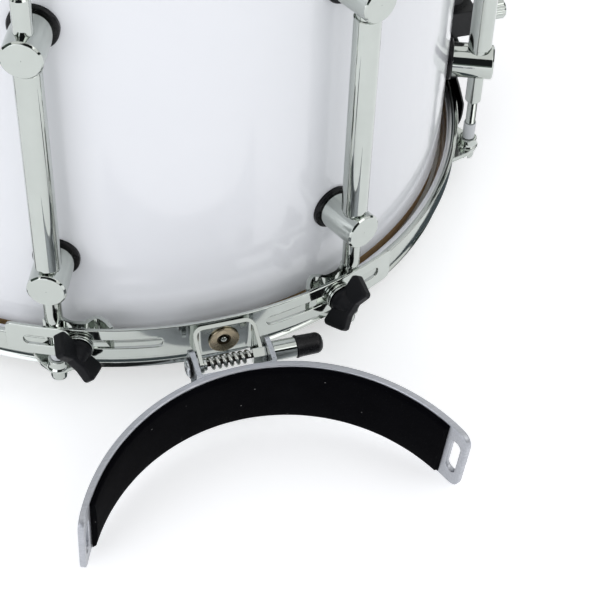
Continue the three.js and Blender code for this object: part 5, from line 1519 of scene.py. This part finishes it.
@dataclass
class Hinge:
    """The leg rest's hinge: bracket, rivet, axle with its collar and sleeve, spring, cap and nut.

    Its forms are in the frame of the hinge axis, which runs along X.
    """

    bracket_half: float = 15.8
    bracket_wall: float = 2.0
    bracket_low: float = -8.1
    bracket_high: float = 11.3
    bracket_back: float = 15.0
    bracket_front: float = -9.0
    bracket_bend: float = 5.2
    eye_radius: float = 4.0
    seat: Flat = (-13.6, -12.1)
    seat_radius: float = 3.0
    rivet_level: float = 1.2
    rivet_bore: float = 2.9
    axle_radius: float = 1.2
    axle_start: float = -22.5
    axle_end: float = 37.6
    collar_flats: float = 8.0
    collar: Flat = (10.4, 19.3)
    sleeve: Flat = (20.1, 34.9)
    sleeve_radius: float = 5.0
    cap: Flat = (31.9, 45.5)
    cap_radius: float = 5.7
    cap_tip_radius: float = 5.2
    washer: Flat = (-20.9, -19.9)
    washer_radius: float = 5.2
    nut_end: float = -22.4
    spring_start: float = -10.8
    spring_end: float = 9.0
    spring_radius: float = 2.4
    spring_wire: float = 1.05
    spring_curls: float = 6.4
    release_travel: float = 4.0

    def placed(self, form: Form) -> Form:
        """Returns a form moved to the hinge."""
        return form.moved(*HINGE)

    def u_plate(self, half: float, wall: float, back: float, front: float, radius: float) -> list[Flat]:
        """Returns the outline in plan of a sheet bent to a U.

        Args:
            half: half of the outside width.
            wall: thickness of the sheet.
            back: the outer face of the U's base.
            front: where the legs end.
            radius: outer radius of the two bends.

        Returns:
            The outline.
        """
        sign = 1 if back > front else -1
        x, y = half - wall / 2, back - sign * wall / 2
        bend = radius - wall / 2
        line = [(-x, front), *arc((-x + bend, y - sign * bend), bend, 180, 180 - sign * 90, 8)]
        line += [*arc((x - bend, y - sign * bend), bend, sign * 90, 0, 8), (x, front)]
        return ribbon(line, wall)

    def bracket(self) -> Form:
        """Returns the bracket, bent to a U, with eyes round the axle."""
        back, wide = self.bracket_back, 20.0
        plan = self.u_plate(self.bracket_half, self.bracket_wall, back, self.bracket_front, self.bracket_bend)
        eye = arc((0.0, 0.0), self.eye_radius, 108, 252, 16)
        side = [*eye, (back + 1, self.bracket_low), (back + 1, self.bracket_high)]
        outline = prism(side, [-wide, wide]).mapped(lambda p: (p.z, p.x, p.y))
        bore = self.axle_radius + GAP
        reach = self.collar_flats / 2 / math.cos(math.pi / 6) + GAP
        holes = [crosswise(bar(bore, -wide, 0, 32)), crosswise(bar(reach, 0, wide, 6))]
        holes.append(bar(self.rivet_bore, 8, 20).turned(Axis.X, -90).moved(z=self.rivet_level))
        body = shaped(shaped(prism(plan, [-wide, wide]), outline, keep=Cut.INSIDE), *holes)
        ring = walled(bore, self.seat_radius, *self.seat)
        return joined(softened(body, 0.55, 3, 40), crosswise(lathe(eased(ring, 0.25), 40)))

    def rivet(self) -> list[tuple[Form, Finish]]:
        """Returns the rivet, with a cupped head and a pin in its hollow centre."""
        rim = [(3.25, 12.8), (7.2, 12.8), (7.6, 12.5), (7.6, 12.15), (7.3, 11.9), (6.9, 11.9), (3.5, 12.6)]
        socket = [(3.5, 12.6), (2.7, 13.1), (2.55, 15.0), (2.85, 15.0), (3.25, 12.8)]
        tail = [(1.7, 15.0), (2.6, 15.0), (2.6, 17.4), (4.4, 17.4), (4.3, 18.2), (3.3, 18.7), (1.7, 18.7)]
        pin = [(0.5, 12.05), (1.1, 12.2), (1.5, 12.5), (1.65, 13.0), (1.65, 17.5)]
        parts = []
        for form, finish in (
            (joined(lathe(rim, 64), lathe(eased(tail, 0.3), 40)), WARM_NICKEL),
            # the hollow's wall takes the painted shade
            (lathe(socket, 40), RIVET_HOLLOW_SHADE),
            (spindle(pin, 32, 0.3), CHROME),
        ):
            parts.append((self.placed(form.turned(Axis.X, -90).moved(z=self.rivet_level)), finish))
        return parts

    def spring(self) -> Form:
        """Returns the coil spring on the axle, its end turns closed against their seats."""
        path = []
        steps, radius, length = 28, self.spring_radius, self.spring_end - self.spring_start
        count = self.spring_curls * steps
        for i in range(int(count) + 1):
            t = i / count
            angle = 2 * math.pi * self.spring_curls * t
            share = t + 0.022 * math.sin(2 * math.pi * t) / math.pi
            place = (self.spring_start + length * share, radius * math.cos(angle), radius * math.sin(angle))
            path.append(Vector(place))
        return wire(path, self.spring_wire, 12)

    def rod(self) -> Form:
        """Returns the axle's rod, its end a little tapered."""
        start, radius = self.axle_start, self.axle_radius
        return crosswise(spindle([(radius - 0.3, start), (radius, start + 0.3), (radius, self.axle_end)], 40))

    def collar_and_sleeve(self) -> Form:
        """Returns the axle's hexagonal collar and its sleeve."""
        corner = self.collar_flats / 2 / math.cos(math.pi / 6)
        collar = softened(prism(arc((0.0, 0.0), corner, 0, 300, 5), self.collar), 0.45, 2)
        near, far = self.sleeve
        radius = self.sleeve_radius
        outline = [(radius - 0.7, near), (radius, near + 0.6), (radius, far - 0.3), (radius - 0.3, far)]
        return crosswise(joined(collar, spindle(outline, 56, 0.3)))

    def rubber_cap(self) -> Form:
        """Returns the rubber cap, with a collar at its mouth and a rounded end."""
        near, far = self.cap
        inner, hollow = self.sleeve_radius + GAP, self.axle_radius + GAP
        tip, mouth, crown = self.cap_tip_radius, self.cap_radius, 3.4
        end, seat = self.axle_end + GAP, self.sleeve[1] + GAP
        rounding = arc((far - crown, tip - crown), crown, 90, 12, 7)
        profile = [
            (inner, near), (mouth - 0.3, near), (mouth, near + 0.35), (mouth - 0.05, near + 0.9),
            (tip + 0.2, near + 1.5), (tip + 0.1, near + 4.0),
            *((radius, along) for along, radius in rounding),
            (0.0, far), (0.0, end), (hollow, end), (hollow, seat), (inner, seat),
        ]
        return crosswise(lathe(profile, 56))

    def nut(self) -> list[tuple[Form, Finish]]:
        """Returns the domed nut and its black washer at the axle's left end."""
        near, far = self.washer
        bore = self.axle_radius + GAP
        washer = lathe(eased(walled(bore, self.washer_radius, near, far), 0.3), 48)
        dome = [
            (bore, near + 0.2), (4.3, near + 0.2), (4.25, near - 0.3), (3.9, near - 0.8), (3.2, near - 1.2),
            (bore, self.nut_end),
        ]
        parts = ((washer, RUBBER), (lathe(dome, 48), ZINC))
        return [(self.placed(crosswise(form)), finish) for form, finish in parts]

    def squash_spring(self, thing: Thing) -> None:
        """Gives the spring its own copy of its mesh."""
        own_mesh(thing)

    def pieces(self) -> Iterator[Piece]:
        """Gives the hinge's pieces."""
        yield Piece.plain("bent_hinge_bracket", self.placed(self.bracket()), *PRESSED, "hinge_bracket")
        yield Piece("hollow_rivet", self.rivet(), Slot.STEEL, ["bracket_rivet"])
        spring = Piece.plain(
            "coil_spring", self.placed(self.spring()), WIRE_STEEL, Slot.STEEL, "release_spring"
        )
        spring.declare = self.squash_spring
        yield spring
        axle = [(self.placed(self.rod()), OILED_STEEL), (self.placed(self.collar_and_sleeve()), CHROME)]
        yield Piece("hinge_axle", axle, Slot.CHROME, ["release_axle"], Body.RELEASE)
        cap = self.placed(self.rubber_cap())
        yield Piece.plain("rubber_push_cap", cap, RUBBER, Slot.RUBBER, "release_cap", Body.RELEASE)
        yield Piece("domed_axle_nut", self.nut(), Slot.STEEL, ["axle_nut"], Body.RELEASE)


@dataclass
class LegRest:
    """The folding part of the leg rest: yoke, curved plate and pad, in a frame that tilts on the hinge."""

    tilt: float = 9.0
    yoke_half: float = 19.6
    yoke_wall: float = 2.4
    yoke_back: float = -13.1
    yoke_low: float = -15.0
    yoke_high: float = 9.0
    eye_radius: float = 8.5
    axle_bore: float = 1.5
    sleeve_bore: float = 5.3
    bend: Point = (1.6, -111.4, -7.0)  # middle of the plate's curve
    plate_bore: float = 95.0
    plate_radius: float = 98.0
    plate_width: float = 43.0
    plate_half_angle: float = 70.0
    plate_corner: float = 7.5
    slot_angle: float = 66.0
    slot_width: float = 6.0
    slot_length: float = 24.0
    pad_outer: float = 94.7
    pad_thickness: float = 2.6
    pad_edge: float = 1.5  # thickness at its long edges
    pad_round: float = 1.1  # width of its edge's rounding
    pad_width: float = 40.4
    pad_half_angle: float = 62.6

    def placed(self, form: Form) -> Form:
        """Returns a form of the tilted frame in its place on the drum."""
        return form.turned(Axis.X, self.tilt).moved(*HINGE)

    def yoke(self) -> Form:
        """Returns the yoke, bent to a U, with ears round the axle."""
        back, front, wide = self.yoke_back, self.yoke_back + 3.4, 30.0
        plan = Hinge().u_plate(self.yoke_half, self.yoke_wall, back, 9.0, 3.4)
        eye = arc((0.0, 0.0), self.eye_radius, -75, 75, 16)
        side = [(back - 1, self.yoke_low), (front, self.yoke_low), *eye]
        side += [(front, self.yoke_high), (back - 1, self.yoke_high)]
        outline = prism(side, [-wide, wide]).mapped(lambda p: (p.z, p.x, p.y))
        axle_hole = crosswise(bar(self.axle_bore, -wide, 0, 32))
        sleeve_hole = crosswise(bar(self.sleeve_bore, 0, wide, 40))
        body = shaped(prism(plan, [-wide, wide]), outline, keep=Cut.INSIDE)
        return softened(shaped(body, axle_hole, sleeve_hole), 0.55, 3, 40)

    def plate(self) -> Form:
        """Returns the curved plate with a strap slot in each end."""
        middle = (self.plate_bore + self.plate_radius) / 2
        reach = middle * math.radians(self.plate_half_angle)
        half = self.plate_width / 2
        corners = [(-reach, -half), (reach, -half), (reach, half), (-reach, half)]
        outlines = [eased(corners, self.plate_corner, 8)]
        radius = self.slot_width / 2
        run = self.slot_length / 2 - radius
        for hand in (-1, 1):
            x = hand * middle * math.radians(self.slot_angle)
            outlines.append([*arc((x, run), radius, 0, 180, 10), *arc((x, -run), radius, 180, 360, 10)])
        sheet = flat_sheet(outlines, self.plate_radius - self.plate_bore, 0.7)
        return around(bent(sheet, middle, 140), 180).moved(*self.bend)

    def pad_rise(self, along: float, across: float) -> float:
        """Returns how far the pad stands off its plate.

        Args:
            along: place along the pad, from -1 to 1.
            across: place across the pad, from -1 to 1.

        Returns:
            The height of the pile, in millimetres.
        """
        reach, half = math.radians(self.pad_half_angle) * self.pad_outer, self.pad_width / 2
        crown = self.pad_edge + (self.pad_thickness - self.pad_edge) * (1 - abs(across) ** 3)
        end = min((1 - abs(along)) * reach / self.pad_round, 1.0)
        edge = min((1 - abs(across)) * half / self.pad_round, 1.0)
        rise = crown * math.sqrt(1 - (1 - end) ** 2) * math.sqrt(1 - (1 - edge) ** 2)
        return rise * (1 + 0.03 * noise.noise(Vector((along * 117, across * half, 0)) / 9))

    def pad(self) -> Form:
        """Returns the pad, thickest along its middle, with its edges rounded over."""
        columns, rows = 220, 30
        reach = math.radians(self.pad_half_angle)
        half = self.pad_width / 2
        points: list[Vector] = []
        for layer in (0, 1):
            for i in range(columns + 1):
                along = 2 * i / columns - 1
                for k in range(rows + 1):
                    across = 2 * k / rows - 1
                    radius = self.pad_outer - (self.pad_rise(along, across) if layer else 0.0)
                    angle = along * reach
                    points.append(Vector((radius * math.sin(angle), radius * math.cos(angle), across * half)))
        width, total = rows + 1, (columns + 1) * (rows + 1)
        faces: list[Face] = []
        for i in range(columns):
            for k in range(rows):
                a = i * width + k
                faces.append((a, a + 1, a + width + 1, a + width))
                faces.append((total + a, total + a + width, total + a + width + 1, total + a + 1))
        return Form(points, faces).moved(*self.bend)

    def pieces(self) -> Iterator[Piece]:
        """Gives the leg rest's pieces."""
        rows = [
            ("bent_rest_yoke", self.yoke(), ZINC, Slot.STEEL, "rest_yoke"),
            ("curved_rest_plate", self.plate(), SILVER_ALUMINIUM, Slot.PLATE_ALUMINIUM, "rest_plate"),
            ("velour_pad", self.pad(), VELOUR, Slot.FELT, "rest_pad"),
        ]
        for name, form, *rest in rows:
            piece = Piece.plain(name, self.placed(form), *rest, Body.LEG_REST)
            if name == "velour_pad":
                piece.crease = 60.0
                piece.declare = lambda thing: thing
            yield piece


# Studio


@dataclass
class Studio:
    """A plain pale floor, soft light, and the camera at the photograph's angle."""

    floor_level: float = -0.2742
    floor_size: float = 6.0
    floor_glow: float = 0.4
    sky_light: float = 0.8
    aim: Point = (0.0, -0.1, -0.2)  # where the lamps look
    lens: float = 101.446
    sensor: float = 36.0
    camera_place: Point = (-0.13961, -0.74167, 0.36223)
    azimuth: float = -18.51
    elevation: float = 45.45
    roll: float = 2.42

    def camera(self) -> None:
        """Places the camera."""
        lens = bpy.data.cameras.new("camera")
        lens.lens = self.lens
        lens.sensor_width = self.sensor
        lens.clip_start = 0.01
        az, el, roll = (math.radians(angle) for angle in (self.azimuth, self.elevation, self.roll))
        back = Vector((math.sin(az) * math.cos(el), -math.cos(az) * math.cos(el), math.sin(el)))
        right = (-back).cross(Vector((0, 0, 1))).normalized()
        up = right.cross(-back)
        across = right * math.cos(roll) + up * math.sin(roll)
        above = -right * math.sin(roll) + up * math.cos(roll)
        turn = Matrix((across, above, back)).transposed().to_4x4()
        thing = linked("camera", lens)
        thing.matrix_world = Matrix.Translation(self.camera_place) @ turn
        bpy.context.scene.camera = thing

    def seen_directly(self, tree: Tree) -> Socket:
        """Returns 1 where the camera looks, or a mirror or glass shows what it looks at."""
        path = add_node(tree, "LightPath", {}, {})
        rays = [path.outputs[name] for name in ("Is Camera Ray", "Is Glossy Ray", "Is Transmission Ray")]
        links = {0: calculated(tree, "ADD", rays[0], rays[1]), 1: rays[2]}
        return add_node(tree, "Math", {}, links, operation="ADD", use_clamp=True).outputs[0]

    def world(self) -> None:
        """Makes the white surroundings, whose light on the drum is soft and even."""
        made = bpy.data.worlds.new("white_studio")
        bpy.context.scene.world = made
        made.use_nodes = True
        tree = made.node_tree
        tree.nodes.clear()
        light = {"Color": linear("#F4F6FA"), "Strength": self.sky_light}
        soft = add_node(tree, "Background", light, {}).outputs[0]
        white = add_node(tree, "Background", {"Color": (1, 1, 1, 1), "Strength": 1.0}, {}).outputs[0]
        mix = add_node(tree, "MixShader", {}, {0: self.seen_directly(tree), 1: soft, 2: white})
        add_node(tree, "OutputWorld", {}, {"Surface": mix.outputs[0]})

    def floor(self) -> None:
        """Lays the pale floor, which keeps the drum's shadow and stays white round it."""
        size = self.floor_size / 2
        mesh = bpy.data.meshes.new("floor")
        corners = [(-size, -size), (size, -size), (size, size), (-size, size)]
        mesh.from_pydata([(x, y, self.floor_level) for x, y in corners], [], [(0, 1, 2, 3)])
        material = bpy.data.materials.new("white_floor")
        material.use_nodes = True
        tree = material.node_tree
        shader = tree.nodes["Principled BSDF"]
        shader.inputs["Base Color"].default_value = linear("#F8F8F8")
        shader.inputs["Roughness"].default_value = 0.8
        plain = shader.outputs[0]
        glow = add_node(tree, "Emission", {"Color": (1, 1, 1, 1), "Strength": self.floor_glow}, {})
        both = add_node(tree, "AddShader", {}, {0: plain, 1: glow.outputs[0]}).outputs[0]
        mix = add_node(tree, "MixShader", {}, {0: self.seen_directly(tree), 1: plain, 2: both})
        tree.links.new(mix.outputs[0], tree.nodes["Material Output"].inputs["Surface"])
        mesh.materials.append(material)
        linked("floor", mesh)

    def lamp(self, name: str, place: Sequence[float], size: float, power: float, color: str) -> None:
        """Hangs a square soft box that faces the drum.

        Args:
            name: the lamp's name.
            place: where it hangs, in metres.
            size: length of its side, in metres.
            power: its power in watts.
            color: its colour.
        """
        light = bpy.data.lights.new(name, "AREA")
        light.size = size
        light.energy = power
        light.color = linear(color)[:3]
        thing = linked(name, light)
        thing.location = place
        toward = Vector(self.aim) - Vector(place)
        thing.rotation_euler = toward.to_track_quat("-Z", "Y").to_euler()

    def panel(self, name: str, place: Sequence[float], size: Flat, color: str) -> None:
        """Stands a grey flat beside the drum, which shows only in its glossy surfaces.

        Args:
            name: the flat's name.
            place: its middle, in metres.
            size: its width and height, in metres.
            color: its colour.
        """
        x, y = size[0] / 2, size[1] / 2
        corners = [(-x, -y, 0.0), (x, -y, 0.0), (x, y, 0.0), (-x, y, 0.0)]
        thing = self.gloss_only(name, corners, [(0, 1, 2, 3)], color)
        thing.location = place
        thing.rotation_euler = (-Vector(place)).to_track_quat("Z", "Y").to_euler()

    def ring(self, name: str, start: Flat, end: Flat, color: str) -> None:
        """Lays or stands a ring about the drum, which shows only in its glossy surfaces.

        Args:
            name: the ring's name.
            start: radius and height of one edge, in metres.
            end: radius and height of the other edge, in metres.
            color: its colour.
        """
        count = 64
        turns = [2 * math.pi * index / count for index in range(count)]
        corners = [(r * math.cos(a), r * math.sin(a), z) for r, z in (start, end) for a in turns]
        faces = [(i, (i + 1) % count, (i + 1) % count + count, i + count) for i in range(count)]
        self.gloss_only(name, corners, faces, color)

    def gloss_only(self, name: str, corners: list[Point], faces: list[Face], color: str) -> Thing:
        """Makes a surface of one tone that only glossy rays see.

        Args:
            name: its name.
            corners: its points, in metres.
            faces: its faces.
            color: its colour.

        Returns:
            The object.
        """
        mesh = bpy.data.meshes.new(name)
        mesh.from_pydata(corners, [], faces)
        material = bpy.data.materials.new(name)
        material.use_nodes = True
        tree = material.node_tree
        tone = add_node(tree, "Emission", {"Color": linear(color), "Strength": 1.0}, {})
        tree.links.new(tone.outputs[0], tree.nodes["Material Output"].inputs["Surface"])
        mesh.materials.append(material)
        thing = linked(name, mesh)
        thing.visible_camera = False
        thing.visible_diffuse = False
        thing.visible_transmission = False
        thing.visible_shadow = False
        return thing

    def set_up(self) -> None:
        """Makes the studio."""
        bpy.context.scene.view_settings.view_transform = "Standard"
        self.camera()
        self.world()
        self.floor()
        self.lamp("key_softbox", (1.1, -1.5, 1.4), 1.2, 5.0, "#FFFFFF")
        self.lamp("fill_softbox", (-1.3, -1.4, 0.3), 1.2, 9.5, "#F8F9FF")
        self.panel("grey_flat_left", (-2.2, -0.4, 0.1), (1.1, 2.6), "#4A5550")
        self.panel("grey_flat_right", (2.0, 0.2, 0.1), (1.0, 2.6), "#3A4440")
        self.panel("grey_flat_front", (-0.5, -2.6, -0.05), (1.6, 0.35), "#6E7A74")
        self.panel("dark_flat_behind_camera", (-0.9, -2.7, 1.25), (4.0, 2.9), "#232627")
        self.ring("dark_round_wall", (3.4, -0.25), (3.4, 0.35), "#2B302F")
        # A dark ring on the floor round the drum's foot, seen only in reflections: a painted contact shadow.
        floor = self.floor_level + 0.0008  # just above the floor itself
        self.ring("painted_contact_shadow_ring", (0.187, floor), (0.1985, floor), "#4A5256")


def main() -> None:
    """Builds the studio and the drum, piece by piece."""
    logging.basicConfig(level=logging.INFO, format="%(message)s")
    Studio().set_up()
    assemblies = (
        Shell(), CounterHoop(), Lug(), TensionRod(), SnareWires(), Strainer(), ButtPlate(), RestBand(),
        Hinge(), LegRest(),
    )
    for assembly in assemblies:
        for piece in assembly.pieces():
            piece.make()


if __name__ == "__main__":
    main()
